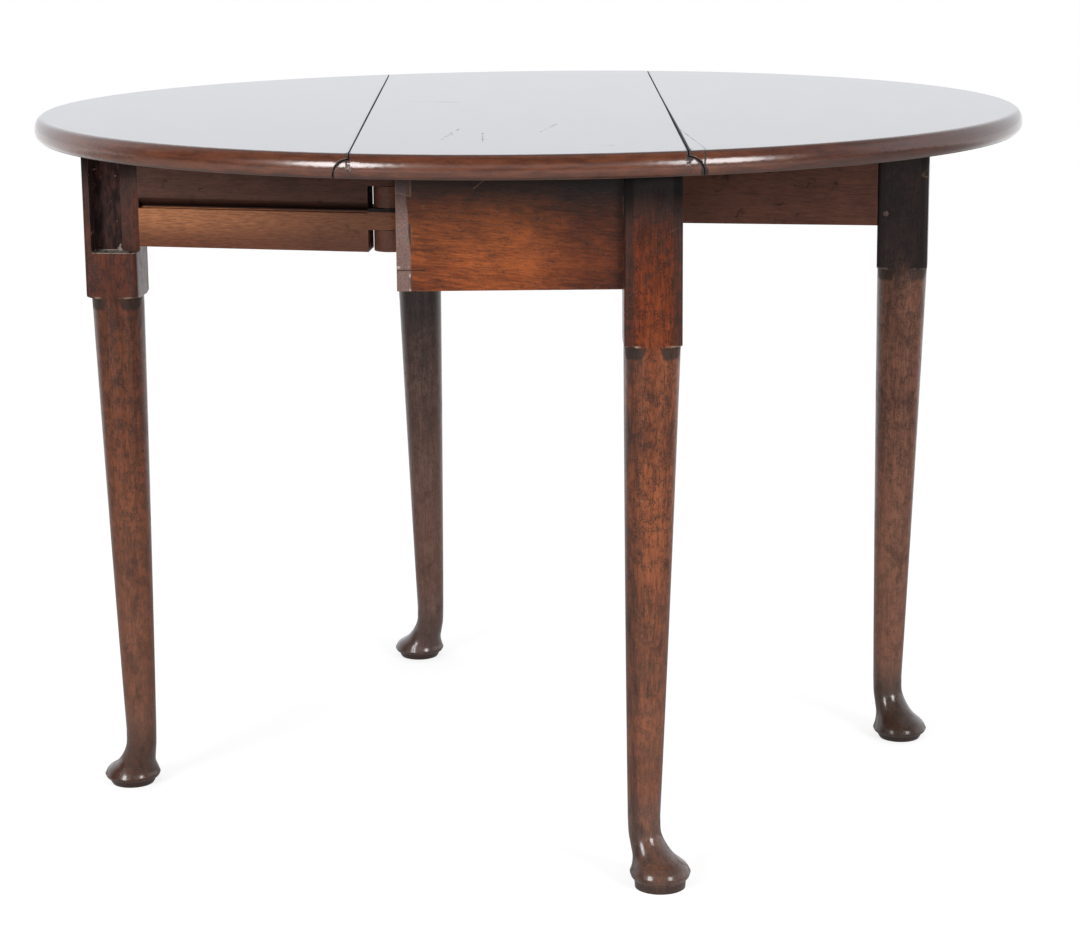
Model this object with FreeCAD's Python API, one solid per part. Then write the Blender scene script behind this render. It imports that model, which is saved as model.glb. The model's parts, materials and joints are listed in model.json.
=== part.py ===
"""Drop-leaf swing-leg table: an oval top in three boards on a rail frame with two fixed and two gate legs.

Millimetres, +Z up, floor at z = 0. X runs across the leaves, Y along the rule joints.
The frame looks the same after half a turn about Z, so one side is drawn about the frame's middle and its
partner is that side turned. Both gates stand open under raised leaves. One leaf is a little wider than
the other, so every finished piece is moved along X to put the origin below the middle of the whole top.
"""
import FreeCAD, Part
import math
import os

V = FreeCAD.Vector
UP = V(0, 0, 1)
ACROSS = V(1, 0, 0)
ALONG = V(0, 1, 0)

# Top
TOP_HEIGHT = 715.0
TOP_THICKNESS = 23.0
LEFT_REACH = 502.5
RIGHT_REACH = 523.5
TOP_HALF_LENGTH = 446.5
BACK_CROWN = 50.0
EDGE_ROUND = 9.0
EDGE_UNDERCUT = 5.5
EDGE_WIDEST = 0.58
EDGE_FULLNESS = 2.5
EDGE_STEPS = 4
END_OVERHANG = 32.5

# Rule joint between the centre board and each leaf
JOINT_HALF_SPAN = 153.0
JOINT_FILLET = 5.5
JOINT_RADIUS = 15.0
JOINT_GAP = 1.0

# Iron flap hinges let into the underside
HINGE_PLACES = (-260.0, 0.0, 260.0)
HINGE_WIDTH = 40.0
FLAP_THICKNESS = 2.4
BOARD_FLAP_LENGTH = 30.0
LEAF_FLAP_LENGTH = 50.0
HINGE_KNUCKLE_DIAMETER = 6.4
HINGE_PIN_DIAMETER = 3.0
HINGE_RUNNING_GAP = 0.05
HINGE_END_GAP = 0.4
FLAP_ROOM = 1.2

# Legs
LEG_SQUARE = 54.0
LEG_ARRIS = 4.0
LEG_X = 122.5
POMMEL_BOTTOM = 532.0
SHOULDER_RISE = 8.0
SHOULDER_FULLNESS = (0.7, 0.3)
ROUND_TOP_DIAMETER = 53.9
ANKLE_HEIGHT = 65.0
ANKLE_DIAMETER = 31.6
ANKLE_SET_IN = 7.5
SHAFT_BELLY = 0.5
SHAFT_CIRCLES = 5
FOOT_FALL = (0.36, 0.54, 0.73, 0.88, 1.0)
FOOT_SWEEP = (0.06, 0.22, 0.50, 0.87, 1.0)
FOOT_TUCK = (0.6, 2.0, 3.3, 2.2, 0.0)
RIM_HEIGHT = 11.0
RIM_DIAMETER = 59.0
RIM_FULLNESS = (0.72, 0.35)
FOOT_SET_OUT = 7.5
PAD_HEIGHT = 6.5
PAD_DIAMETER = 50.0
PAD_FLOOR_DIAMETER = 44.0

# Frame rails
RAIL_BOTTOM = 580.0
RAIL_THICKNESS = 36.0
RAIL_SET_IN = 0.5
INNER_RAIL_THICKNESS = 14.0
FRIEZE_BOTTOM = 586.0
FRIEZE_THICKNESS = 20.0
FRIEZE_SET_BACK = 10.0

# Wooden knuckle joint that each gate swings on
GATE_HINGE_Y = 101.0
KNUCKLE_FINGERS = 5
FINGER_GAP = 0.5
GATE_PIN_DIAMETER = 8.0
GATE_PIN_RUNNING_GAP = 0.06
GATE_STOP_ANGLE = 100.0
LEFT_GATE_ANGLE = 96.0
RIGHT_GATE_ANGLE = 99.0
GATE_SIDE_GAP = 0.5
GATE_RAIL_DROP = 3.0
GATE_LEG_GAP = 0.5
LEFT_RAIL_RISE = 4.5
RIGHT_RAIL_RISE = 0.0
NOTCH_GAP = 2.0
GROOVE_LIP_HEIGHT = 39.5
GROOVE_HEIGHT = 11.0
GROOVE_DEPTH = 8.0
GROOVE_FLOOR = 2.5

# Joinery and fixings
TENON_THICKNESS = 12.0
TENON_LENGTH = 32.0
TENON_SHOULDER = 5.0
FRIEZE_TENON_THICKNESS = 8.0
FRIEZE_TENON_LENGTH = 25.0
PEG_DIAMETER = 6.0
PEG_LENGTH = 30.0
PEG_SET_BACK = 9.0
PEG_EDGE = 13.0
DOVETAILS = 2
DOVETAIL_WIDTH = 30.0
DOVETAIL_FLARE = 3.0
BLOCK_SIDE = 24.0
BLOCK_LENGTH = 70.0
BLOCK_PLACE = 190.0
POCKET_WIDTH = 16.0
POCKET_HEIGHT = 26.0
POCKET_DEPTH = 9.0
POCKET_DROP = 26.0
TOP_SCREW_PLACE = 60.0
TOP_SCREW_BITE = 12.0
RAIL_SCREW_PLACES = (-30.0, 120.0, 270.0)
RAIL_SCREW_BITE = 20.0
SCREW_SHANK = 4.0
SCREW_HEAD = 8.0
SCREW_HEAD_HEIGHT = 3.0
SCREW_SLOT = 0.8
FLAP_SCREW_SHANK = 3.4
FLAP_SCREW_HEAD = 6.4
FLAP_SCREW_HEAD_HEIGHT = 2.0
FLAP_SCREW_BITE = 13.0
FLAP_SCREW_EDGE = 7.0

# Places that follow from the sizes above
UNDERSIDE = TOP_HEIGHT - TOP_THICKNESS
PIVOT_HEIGHT = TOP_HEIGHT - JOINT_FILLET - JOINT_RADIUS
PIVOT_COVER = PIVOT_HEIGHT - UNDERSIDE
LEG_HALF = LEG_SQUARE / 2
LEG_OUTER = LEG_X + LEG_HALF
LEG_INNER = LEG_X - LEG_HALF
LEG_FRONT = TOP_HALF_LENGTH - END_OVERHANG
LEG_Y = LEG_FRONT - LEG_HALF
LEG_BACK = LEG_FRONT - LEG_SQUARE
RAIL_OUTER = LEG_OUTER - RAIL_SET_IN
RAIL_HALF = RAIL_THICKNESS / 2
GATE_HALF = RAIL_HALF - GATE_SIDE_GAP
PIN_X = RAIL_OUTER - RAIL_HALF
RAIL_INNER = RAIL_OUTER - RAIL_THICKNESS
INNER_RAIL_FACE = RAIL_INNER - INNER_RAIL_THICKNESS
FRIEZE_FRONT = LEG_FRONT - FRIEZE_SET_BACK
FRIEZE_BACK = FRIEZE_FRONT - FRIEZE_THICKNESS
SHOULDER = RAIL_HALF / math.tan(math.radians(180 - GATE_STOP_ANGLE) / 2)
FINGER_HEIGHT = (UNDERSIDE - RAIL_BOTTOM) / KNUCKLE_FINGERS
GATE_RAIL_TOP = UNDERSIDE - GATE_RAIL_DROP
TOP_MIDDLE = (RIGHT_REACH - LEFT_REACH) / 2
BOARD_FLAP_END = JOINT_HALF_SPAN - BOARD_FLAP_LENGTH
LEAF_FLAP_START = JOINT_HALF_SPAN + JOINT_RADIUS + JOINT_GAP
LEAF_FLAP_END = JOINT_HALF_SPAN + LEAF_FLAP_LENGTH
FLAP_Z = (UNDERSIDE, UNDERSIDE + FLAP_THICKNESS)
FIXED_FINGERS = range(0, KNUCKLE_FINGERS, 2)
GATE_FINGERS = range(1, KNUCKLE_FINGERS, 2)
TOP_SCREW_LENGTH = POCKET_DROP + TOP_SCREW_BITE
RAIL_SCREW_LENGTH = RAIL_SCREW_BITE + INNER_RAIL_THICKNESS
EPS = 1.0
LOFT_DEGREE = 3


def box(x, y, z):
    """Block between the two values of each axis."""
    return Part.makeBox(x[1] - x[0], y[1] - y[0], z[1] - z[0], V(x[0], y[0], z[0]))


def rod(diameter, start, direction, length):
    """Round bar from a start point."""
    return Part.makeCylinder(diameter / 2, length, start, direction)


def turned(shape):
    """The same piece on the opposite side of the frame, half a turn about Z."""
    copy = shape.copy()
    copy.rotate(V(0, 0, 0), UP, 180)
    return copy


def mirrored(shape):
    """The same piece on the other side of the plane x = 0."""
    return shape.mirror(V(0, 0, 0), ACROSS)


def group(shapes):
    """Separate identical solids in one node."""
    return Part.makeCompound(shapes)


def without(shape, cutters):
    """Shape less every cutter, as one clean solid."""
    return shape.cut(list(cutters)).removeSplitter()


def screw(tip, direction, shank, head, head_height, length):
    """Countersunk wood screw that ends at its tip and points along direction, unslotted."""
    back = tip - direction * length
    body = rod(shank, back, direction, length)
    cone = Part.makeCone(head / 2, shank / 2, head_height, back, direction)
    return body.fuse(cone).removeSplitter()


def slotted(blank, direction, head, length, tip):
    """The screw with its driver slot across X, or across Z for a screw along X."""
    side = UP if abs(direction.x) > 0.5 else ACROSS
    back = tip - direction * length
    other = side.cross(direction)
    corner = back - direction * EPS - side * head - other * (SCREW_SLOT / 2)
    face = Part.Face(Part.makePolygon([
        corner,
        corner + side * head * 2,
        corner + side * head * 2 + other * SCREW_SLOT,
        corner + other * SCREW_SLOT,
        corner,
    ]))
    return blank.cut(face.extrude(direction * (EPS + SCREW_SLOT)))


def quarter(reach, crown, half_length, height):
    """Quarter ellipse from the point on X to the crown of the front or back, exact as a rational curve."""
    curve = Part.BezierCurve()
    curve.setPoles([V(reach, 0, height), V(reach, half_length, height), V(crown, half_length, height)])
    curve.setWeight(2, math.sqrt(0.5))
    return curve.toShape()


def outline(set_in, height):
    """Oval outline of the top, with its own reach to each side; the back is fullest right of the middle."""
    half = TOP_HALF_LENGTH - set_in
    right = RIGHT_REACH - set_in
    left = LEFT_REACH - set_in
    edges = [quarter(right, BACK_CROWN, half, height), quarter(-left, BACK_CROWN, half, height)]
    edges += [quarter(-left, 0, -half, height), quarter(right, 0, -half, height)]
    return Part.Wire(Part.__sortEdges__(edges))


def edge_rings():
    """Set-in and depth of the moulded edge's rings: an elliptical round-over above a curved undercut."""
    rings = []
    for step in range(EDGE_STEPS + 1):
        turn = math.radians(90 * step / EDGE_STEPS)
        rings.append((EDGE_ROUND * (1 - math.sin(turn)), EDGE_WIDEST * (1 - math.cos(turn))))
    for step in range(1, EDGE_STEPS + 1):
        fall = step / EDGE_STEPS
        rings.append((EDGE_UNDERCUT * fall ** EDGE_FULLNESS, EDGE_WIDEST + (1 - EDGE_WIDEST) * fall))
    return rings


def top_slab():
    """Whole oval top before it is divided into three boards."""
    wires = [outline(set_in, TOP_HEIGHT - TOP_THICKNESS * depth) for set_in, depth in edge_rings()]
    return Part.makeLoft(wires, True, False, False, LOFT_DEGREE)


def arc_at_pivot(radius, start, end):
    """Arc about the right-hand rule joint's pivot between two angles in degrees from +X."""
    def point(angle):
        turn = math.radians(angle)
        return V(JOINT_HALF_SPAN + radius * math.cos(turn), 0, PIVOT_HEIGHT + radius * math.sin(turn))
    return Part.Arc(point(start), point((start + end) / 2), point(end)).toShape()


def along_joint(edges):
    """Closed section in XZ drawn out along the whole joint."""
    half = TOP_HALF_LENGTH + EPS
    face = Part.Face(Part.Wire(Part.__sortEdges__(edges)))
    face.translate(V(0, -half, 0))
    return face.extrude(V(0, 2 * half, 0))


def lines(points):
    """Straight edges through points given as (x, z)."""
    corners = [V(x, 0, z) for x, z in points]
    return [Part.makeLine(a, b) for a, b in zip(corners, corners[1:])]


def board_half():
    """Right half of the space of the centre board: a fillet above a rounded ovolo."""
    low = -math.degrees(math.asin(PIVOT_COVER / JOINT_RADIUS))
    ovolo = arc_at_pivot(JOINT_RADIUS, 90, low)
    lip = ovolo.Vertexes[-1].Point
    lower = [(lip.x, lip.z), (lip.x, UNDERSIDE - EPS), (0, UNDERSIDE - EPS), (0, TOP_HEIGHT + EPS)]
    upper = [(JOINT_HALF_SPAN, TOP_HEIGHT + EPS), (JOINT_HALF_SPAN, TOP_HEIGHT - JOINT_FILLET)]
    return along_joint(lines(lower + upper) + [ovolo])


def leaf_half(reach):
    """Space of a right-hand leaf: a cove that clears the ovolo by the joint gap."""
    radius = JOINT_RADIUS + JOINT_GAP
    high = math.degrees(math.acos(JOINT_GAP / radius))
    cove = arc_at_pivot(radius, high, 0)
    top = cove.Vertexes[0].Point
    far = reach + EPS
    outer = JOINT_HALF_SPAN + radius
    upper = [(top.x, top.z), (top.x, TOP_HEIGHT + EPS), (far, TOP_HEIGHT + EPS)]
    lower = [(far, UNDERSIDE - EPS), (outer, UNDERSIDE - EPS), (outer, PIVOT_HEIGHT)]
    return along_joint(lines(upper + lower) + [cove])


def hinge_span(place):
    """Ends along Y of a hinge at its place."""
    return (place - HINGE_WIDTH / 2, place + HINGE_WIDTH / 2)


def hinge_knuckle(place, span, diameter):
    """Round bar on the pivot over a share of the hinge's width."""
    start, end = hinge_span(place)
    low = start + span[0] * (end - start)
    high = start + span[1] * (end - start)
    return rod(diameter, V(JOINT_HALF_SPAN, low, PIVOT_HEIGHT), ALONG, high - low)


def flap_screw_tips(place, nearest, farthest):
    """Tips of a flap's three screws, two near its free end and one near the knuckle."""
    inset = FLAP_SCREW_EDGE if farthest > nearest else -FLAP_SCREW_EDGE
    side = HINGE_WIDTH / 2 - FLAP_SCREW_EDGE
    spots = [(farthest - inset, place - side), (farthest - inset, place + side), (nearest + inset, place)]
    return [V(x, y, UNDERSIDE + FLAP_SCREW_BITE) for x, y in spots]


def flap_screw_blank(tip):
    """Small screw of a hinge flap before it is slotted, which is also the hole it fills."""
    return screw(tip, UP, FLAP_SCREW_SHANK, FLAP_SCREW_HEAD, FLAP_SCREW_HEAD_HEIGHT, FLAP_SCREW_BITE)


def flap_screw_done(tip):
    """Small screw of a hinge flap."""
    return slotted(flap_screw_blank(tip), UP, FLAP_SCREW_HEAD, FLAP_SCREW_BITE, tip)


def board_screw_tips(place):
    """Tips of the three screws of a short flap."""
    return flap_screw_tips(place, JOINT_HALF_SPAN - HINGE_KNUCKLE_DIAMETER, BOARD_FLAP_END)


def leaf_screw_tips(place):
    """Tips of the three screws of a long flap."""
    return flap_screw_tips(place, LEAF_FLAP_START, LEAF_FLAP_END)


def board_flap(place):
    """Short flap on the centre board with the middle third of the knuckle."""
    plate = box((BOARD_FLAP_END, JOINT_HALF_SPAN), hinge_span(place), FLAP_Z)
    gap = HINGE_END_GAP / HINGE_WIDTH
    thirds = ((-gap, 1 / 3 + gap), (2 / 3 - gap, 1 + gap))
    ends = [hinge_knuckle(place, third, HINGE_KNUCKLE_DIAMETER + 2 * HINGE_END_GAP) for third in thirds]
    middle = hinge_knuckle(place, (1 / 3 + gap, 2 / 3 - gap), HINGE_KNUCKLE_DIAMETER)
    bore = hinge_knuckle(place, (0, 1), HINGE_PIN_DIAMETER)
    holes = [flap_screw_blank(tip) for tip in board_screw_tips(place)]
    return without(without(plate, ends).fuse(middle), [bore] + holes)


def leaf_flap(place):
    """Long flap under the leaf with the outer thirds of the knuckle."""
    plate = box((JOINT_HALF_SPAN, LEAF_FLAP_END), hinge_span(place), FLAP_Z)
    gap = HINGE_END_GAP / HINGE_WIDTH
    middle = hinge_knuckle(place, (1 / 3 - gap, 2 / 3 + gap), HINGE_KNUCKLE_DIAMETER + 2 * HINGE_END_GAP)
    thirds = ((0, 1 / 3 - gap), (2 / 3 + gap, 1))
    ends = [hinge_knuckle(place, third, HINGE_KNUCKLE_DIAMETER) for third in thirds]
    bore = hinge_knuckle(place, (0, 1), HINGE_PIN_DIAMETER + 2 * HINGE_RUNNING_GAP)
    holes = [flap_screw_blank(tip) for tip in leaf_screw_tips(place)]
    return without(without(plate, [middle]).fuse(ends), [bore] + holes)


def board_hinge_cut(place):
    """Let-in for the short flap, groove for the knuckle and way for the long flap under the ovolo."""
    low, high = hinge_span(place)
    y = (low - HINGE_END_GAP, high + HINGE_END_GAP)
    groove = HINGE_KNUCKLE_DIAMETER / 2 + FLAP_ROOM
    seat = box((BOARD_FLAP_END, JOINT_HALF_SPAN), (low, high), (UNDERSIDE - EPS, FLAP_Z[1]))
    well_span = (JOINT_HALF_SPAN - groove, JOINT_HALF_SPAN + groove)
    well = box(well_span, y, (UNDERSIDE - EPS, PIVOT_HEIGHT + groove))
    way_out = (JOINT_HALF_SPAN, JOINT_HALF_SPAN + JOINT_RADIUS + EPS)
    way = box(way_out, y, (UNDERSIDE - EPS, FLAP_Z[1] + FLAP_ROOM))
    screws = [flap_screw_blank(tip) for tip in board_screw_tips(place)]
    return [seat, well, way] + screws


def leaf_hinge_cut(place):
    """Let-in for the long flap and its screw holes."""
    seat = box((LEAF_FLAP_START - EPS, LEAF_FLAP_END), hinge_span(place), (UNDERSIDE - EPS, FLAP_Z[1]))
    return [seat] + [flap_screw_blank(tip) for tip in leaf_screw_tips(place)]


def centre_board(slab):
    """Middle board with an ovolo along both sides, let-ins for the hinges and pilot holes for screws."""
    half = board_half()
    body = slab.common(half.fuse(mirrored(half)).removeSplitter())
    cuts = [cut for place in HINGE_PLACES for cut in board_hinge_cut(place)]
    cuts += [mirrored(cut) for cut in cuts]
    return without(body, cuts + top_screw_holes())


def right_leaf(slab):
    """Right leaf with a cove along its joint and let-ins for the hinges."""
    body = slab.common(leaf_half(RIGHT_REACH))
    return without(body, [cut for place in HINGE_PLACES for cut in leaf_hinge_cut(place)])


def left_leaf(slab):
    """Left leaf with a cove along its joint and let-ins for the hinges."""
    body = slab.common(mirrored(leaf_half(LEFT_REACH)))
    return without(body, [mirrored(cut) for place in HINGE_PLACES for cut in leaf_hinge_cut(place)])


def top_screw_tips():
    """Tips of the two screws that go up from the front frieze's pockets into the board."""
    middle = -(FRIEZE_BACK + POCKET_DEPTH / 2)
    return [V(x, middle, UNDERSIDE + TOP_SCREW_BITE) for x in (-TOP_SCREW_PLACE, TOP_SCREW_PLACE)]


def top_screw_blank(tip):
    """Screw into the board before it is slotted, which is also the hole it fills."""
    return screw(tip, UP, SCREW_SHANK, SCREW_HEAD, SCREW_HEAD_HEIGHT, TOP_SCREW_LENGTH)


def top_screw_holes():
    """Holes of all the screws that hold the board."""
    front = [top_screw_blank(tip) for tip in top_screw_tips()]
    return front + [turned(hole) for hole in front]


def top_screws():
    """Screws that hold the board, two in each frieze."""
    front = [slotted(top_screw_blank(tip), UP, SCREW_HEAD, TOP_SCREW_LENGTH, tip) for tip in top_screw_tips()]
    return group(front + [turned(one) for one in front])


def pocket(x):
    """Hollow cut in the frieze's inner face to drive a screw up into the board."""
    top = UNDERSIDE - POCKET_DROP
    wide = (x - POCKET_WIDTH / 2, x + POCKET_WIDTH / 2)
    return box(wide, (-FRIEZE_BACK - POCKET_DEPTH, -FRIEZE_BACK + EPS), (top - POCKET_HEIGHT, top))


def square_post():
    """Leg's square with eased arrises, from the pommel's bottom to the underside of the top."""
    prism = box((-LEG_HALF, LEG_HALF), (-LEG_HALF, LEG_HALF), (POMMEL_BOTTOM, UNDERSIDE))
    uprights = [edge for edge in prism.Edges if abs(edge.Vertexes[0].Z - edge.Vertexes[1].Z) > EPS]
    return prism.makeFillet(LEG_ARRIS, uprights)


def pommel():
    """Square top of a leg, with a turned shoulder that rounds its lower corners."""
    inner = ROUND_TOP_DIAMETER / 2 - EPS
    corner = LEG_HALF * math.sqrt(2) + EPS
    top = UNDERSIDE + EPS
    along, rise = SHOULDER_FULLNESS
    start = V(inner, 0, POMMEL_BOTTOM)
    middle = V(inner + (corner - inner) * along, 0, POMMEL_BOTTOM + SHOULDER_RISE * rise)
    end = V(corner, 0, POMMEL_BOTTOM + SHOULDER_RISE)
    shoulder = Part.Arc(start, middle, end).toShape()
    rest = [end, V(corner, 0, top), V(0, 0, top), V(0, 0, POMMEL_BOTTOM), start]
    edges = [shoulder] + [Part.makeLine(a, b) for a, b in zip(rest, rest[1:])]
    face = Part.Face(Part.Wire(Part.__sortEdges__(edges)))
    turning = face.revolve(V(0, 0, 0), UP, 360)
    return square_post().common(turning)


def shaft_sections():
    """Height, radius and set-out of the turned shaft's circles, from the pommel to the ankle."""
    sections = []
    start = POMMEL_BOTTOM + SHOULDER_RISE
    for step in range(SHAFT_CIRCLES):
        share = step / (SHAFT_CIRCLES - 1)
        radius = (ROUND_TOP_DIAMETER + (ANKLE_DIAMETER - ROUND_TOP_DIAMETER) * share) / 2
        belly = 4 * SHAFT_BELLY * share * (1 - share)
        sections.append((start + (ANKLE_HEIGHT - start) * share, radius + belly, -ANKLE_SET_IN * share))
    return sections


def foot_sections():
    """Circles from the ankle to the rim: the back stays upright while the front sweeps out."""
    ankle = ANKLE_DIAMETER / 2
    rim = RIM_DIAMETER / 2
    front = (ankle - ANKLE_SET_IN, rim + FOOT_SET_OUT)
    back = (-ankle - ANKLE_SET_IN, FOOT_SET_OUT - rim)
    sections = []
    for down, out, tuck in zip(FOOT_FALL, FOOT_SWEEP, FOOT_TUCK):
        front_edge = front[0] + (front[1] - front[0]) * out
        back_edge = back[0] + (back[1] - back[0]) * down + tuck
        height = ANKLE_HEIGHT + (RIM_HEIGHT - ANKLE_HEIGHT) * down
        sections.append((height, (front_edge - back_edge) / 2, (front_edge + back_edge) / 2))
    return sections


def foot_pad(centre):
    """Round pad below the rim: a rounded undercut to a smaller ring, which tapers to the floor."""
    rim = RIM_DIAMETER / 2
    pad = PAD_DIAMETER / 2
    out, rise = RIM_FULLNESS
    low = V(pad, 0, PAD_HEIGHT)
    high = V(rim, 0, RIM_HEIGHT)
    middle = V(pad + (rim - pad) * out, 0, PAD_HEIGHT + (RIM_HEIGHT - PAD_HEIGHT) * rise)
    points = [high, V(0, 0, RIM_HEIGHT), V(0, 0, 0), V(PAD_FLOOR_DIAMETER / 2, 0, 0), low]
    edges = [Part.makeLine(a, b) for a, b in zip(points, points[1:])]
    edges.append(Part.Arc(low, middle, high).toShape())
    solid = Part.Face(Part.Wire(Part.__sortEdges__(edges))).revolve(V(0, 0, 0), UP, 360)
    solid.translate(centre)
    return solid


def leg_blank(side, end):
    """Whole leg at a corner given by the signs of x and y, turned from one piece of wood."""
    def turning(sections):
        wires = []
        for height, radius, out in sections:
            circle = Part.Circle(V(side * out, end * out, height), UP, radius)
            wires.append(Part.Wire(circle.toShape()))
        return Part.makeLoft(wires, True, False, False, LOFT_DEGREE)

    shaft = turning(shaft_sections())
    foot = turning(shaft_sections()[-1:] + foot_sections())
    pad = foot_pad(V(side * FOOT_SET_OUT, end * FOOT_SET_OUT, 0))
    solid = pommel().fuse([shaft, foot, pad]).removeSplitter()
    solid.translate(V(side * LEG_X, end * LEG_Y, 0))
    return solid


def rail_tenon(along, top):
    """Tenon of a left-hand outer rail over a span of Y, shouldered above and below."""
    thick = (-PIN_X - TENON_THICKNESS / 2, -PIN_X + TENON_THICKNESS / 2)
    return box(thick, along, (RAIL_BOTTOM + TENON_SHOULDER, top - TENON_SHOULDER))


def gate_tenon():
    """Tenon of the left gate rail in its leg, gate shut."""
    return rail_tenon((-LEG_BACK - TENON_LENGTH, -LEG_BACK), GATE_RAIL_TOP)


def fixed_tenon():
    """Tenon of the left fixed rail in the back left leg."""
    return rail_tenon((LEG_BACK, LEG_BACK + TENON_LENGTH), UNDERSIDE)


def frieze_tenon():
    """Tenon of the front frieze in the front right leg."""
    middle = -(FRIEZE_FRONT + FRIEZE_BACK) / 2
    thick = (middle - FRIEZE_TENON_THICKNESS / 2, middle + FRIEZE_TENON_THICKNESS / 2)
    tall = (FRIEZE_BOTTOM + TENON_SHOULDER, UNDERSIDE - TENON_SHOULDER)
    return box((LEG_INNER, LEG_INNER + FRIEZE_TENON_LENGTH), thick, tall)


def peg_pair(y, top):
    """Two wooden pegs driven in from the outer face of a left leg, through a rail's tenon."""
    heights = (RAIL_BOTTOM + PEG_EDGE, top - PEG_EDGE)
    return [rod(PEG_DIAMETER, V(-LEG_OUTER, y, z), ACROSS, PEG_LENGTH) for z in heights]


def gate_pegs():
    """Pegs of the left gate leg, gate shut."""
    return peg_pair(-LEG_BACK - PEG_SET_BACK, GATE_RAIL_TOP)


def fixed_pegs():
    """Pegs of the back left leg."""
    return peg_pair(LEG_BACK + PEG_SET_BACK, UNDERSIDE)


def finger(index):
    """Heights of one finger of the wooden knuckle, counted from the bottom."""
    low = RAIL_BOTTOM + index * FINGER_HEIGHT
    return (low, low + FINGER_HEIGHT)


def finger_cuts(indices, y, top):
    """Spaces cleared for the other rail's fingers."""
    wide = (-RAIL_OUTER - EPS, -RAIL_INNER + EPS)
    cuts = []
    for index in indices:
        low, high = finger(index)
        high = high if index < KNUCKLE_FINGERS - 1 else top + EPS
        low = low if index > 0 else RAIL_BOTTOM - EPS
        cuts.append(box(wide, y, (low - FINGER_GAP / 2, high + FINGER_GAP / 2)))
    return cuts


def pin_bore(diameter):
    """Bore on the left gate's axis, through all the fingers."""
    return rod(diameter, V(-PIN_X, -GATE_HINGE_Y, RAIL_BOTTOM - EPS), UP, UNDERSIDE - RAIL_BOTTOM + 2 * EPS)


def left_fixed_rail():
    """Outer rail from the knuckle to the back left leg, screwed to the inner rail."""
    tall = (RAIL_BOTTOM, UNDERSIDE)
    bar = box((-RAIL_OUTER, -RAIL_INNER), (-GATE_HINGE_Y, LEG_BACK), tall)
    knuckle = rod(RAIL_THICKNESS, V(-PIN_X, -GATE_HINGE_Y, RAIL_BOTTOM), UP, UNDERSIDE - RAIL_BOTTOM)
    cleared = (-GATE_HINGE_Y - RAIL_THICKNESS, -GATE_HINGE_Y + SHOULDER)
    cuts = finger_cuts(GATE_FINGERS, cleared, UNDERSIDE)
    body = bar.fuse([knuckle, fixed_tenon()]).removeSplitter()
    return without(body, cuts + [pin_bore(GATE_PIN_DIAMETER)] + fixed_pegs() + rail_screw_holes())


def finger_groove(rise):
    """Long hollow in the gate rail's inner face, undercut to a lip, by which the gate is pulled out."""
    face = -PIN_X + GATE_HALF
    lip = RAIL_BOTTOM + GROOVE_LIP_HEIGHT + rise
    section = [(face + EPS, lip), (face - GROOVE_DEPTH, lip), (face - GROOVE_DEPTH, lip + GROOVE_FLOOR)]
    section += [(face, lip + GROOVE_HEIGHT), (face + EPS, lip + GROOVE_HEIGHT)]
    loop = [V(x, -LEG_BACK, z) for x, z in section + section[:1]]
    return Part.Face(Part.makePolygon(loop)).extrude(V(0, LEG_BACK - GATE_HINGE_Y - SHOULDER, -rise))


def rail_taper(rise):
    """Wedge planed off the gate rail's lower edge, from nothing at the knuckle to the rise at the leg."""
    start = -GATE_HINGE_Y - SHOULDER
    side = -PIN_X - GATE_HALF - EPS
    corners = [(start, RAIL_BOTTOM), (-LEG_BACK, RAIL_BOTTOM), (-LEG_BACK, RAIL_BOTTOM + rise)]
    loop = [V(side, y, z) for y, z in corners + corners[:1]]
    return Part.Face(Part.makePolygon(loop)).extrude(V(2 * (GATE_HALF + EPS), 0, 0))


def left_gate_rail(rise):
    """Swinging rail from the knuckle to the gate leg, gate shut; lower edge and groove rise to the leg."""
    tall = (RAIL_BOTTOM, GATE_RAIL_TOP)
    bar = box((-PIN_X - GATE_HALF, -PIN_X + GATE_HALF), (-LEG_BACK, -GATE_HINGE_Y), tall)
    knuckle = rod(2 * GATE_HALF, V(-PIN_X, -GATE_HINGE_Y, RAIL_BOTTOM), UP, GATE_RAIL_TOP - RAIL_BOTTOM)
    cleared = (-GATE_HINGE_Y - SHOULDER, -GATE_HINGE_Y + RAIL_THICKNESS)
    cuts = finger_cuts(FIXED_FINGERS, cleared, GATE_RAIL_TOP)
    body = bar.fuse([knuckle, gate_tenon()]).removeSplitter()
    bore = pin_bore(GATE_PIN_DIAMETER + 2 * GATE_PIN_RUNNING_GAP)
    planed = [rail_taper(rise)] if rise > 0 else []
    return without(body, cuts + planed + [bore, finger_groove(rise)] + gate_pegs())


def left_gate_pin():
    """Iron rod through all the fingers."""
    return rod(GATE_PIN_DIAMETER, V(-PIN_X, -GATE_HINGE_Y, RAIL_BOTTOM), UP, UNDERSIDE - RAIL_BOTTOM)


def left_gate_leg():
    """Gate leg, shut: its top is notched to lap over the dovetailed corner of the frame."""
    notch = box(
        (-RAIL_INNER - NOTCH_GAP, -LEG_INNER + EPS),
        (-FRIEZE_FRONT - NOTCH_GAP, -LEG_BACK + EPS),
        (RAIL_BOTTOM, UNDERSIDE + EPS),
    )
    crown = box(
        (-LEG_OUTER - EPS, -LEG_INNER + EPS),
        (-LEG_FRONT - EPS, -LEG_BACK + EPS),
        (UNDERSIDE - GATE_LEG_GAP, UNDERSIDE + EPS),
    )
    return without(leg_blank(-1, -1), [notch, crown, gate_tenon()] + gate_pegs())


def front_right_leg():
    """Fixed leg, mortised for the front frieze and for the right fixed rail."""
    cuts = [frieze_tenon(), turned(fixed_tenon())] + [turned(peg) for peg in fixed_pegs()]
    return without(leg_blank(1, -1), cuts)


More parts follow.
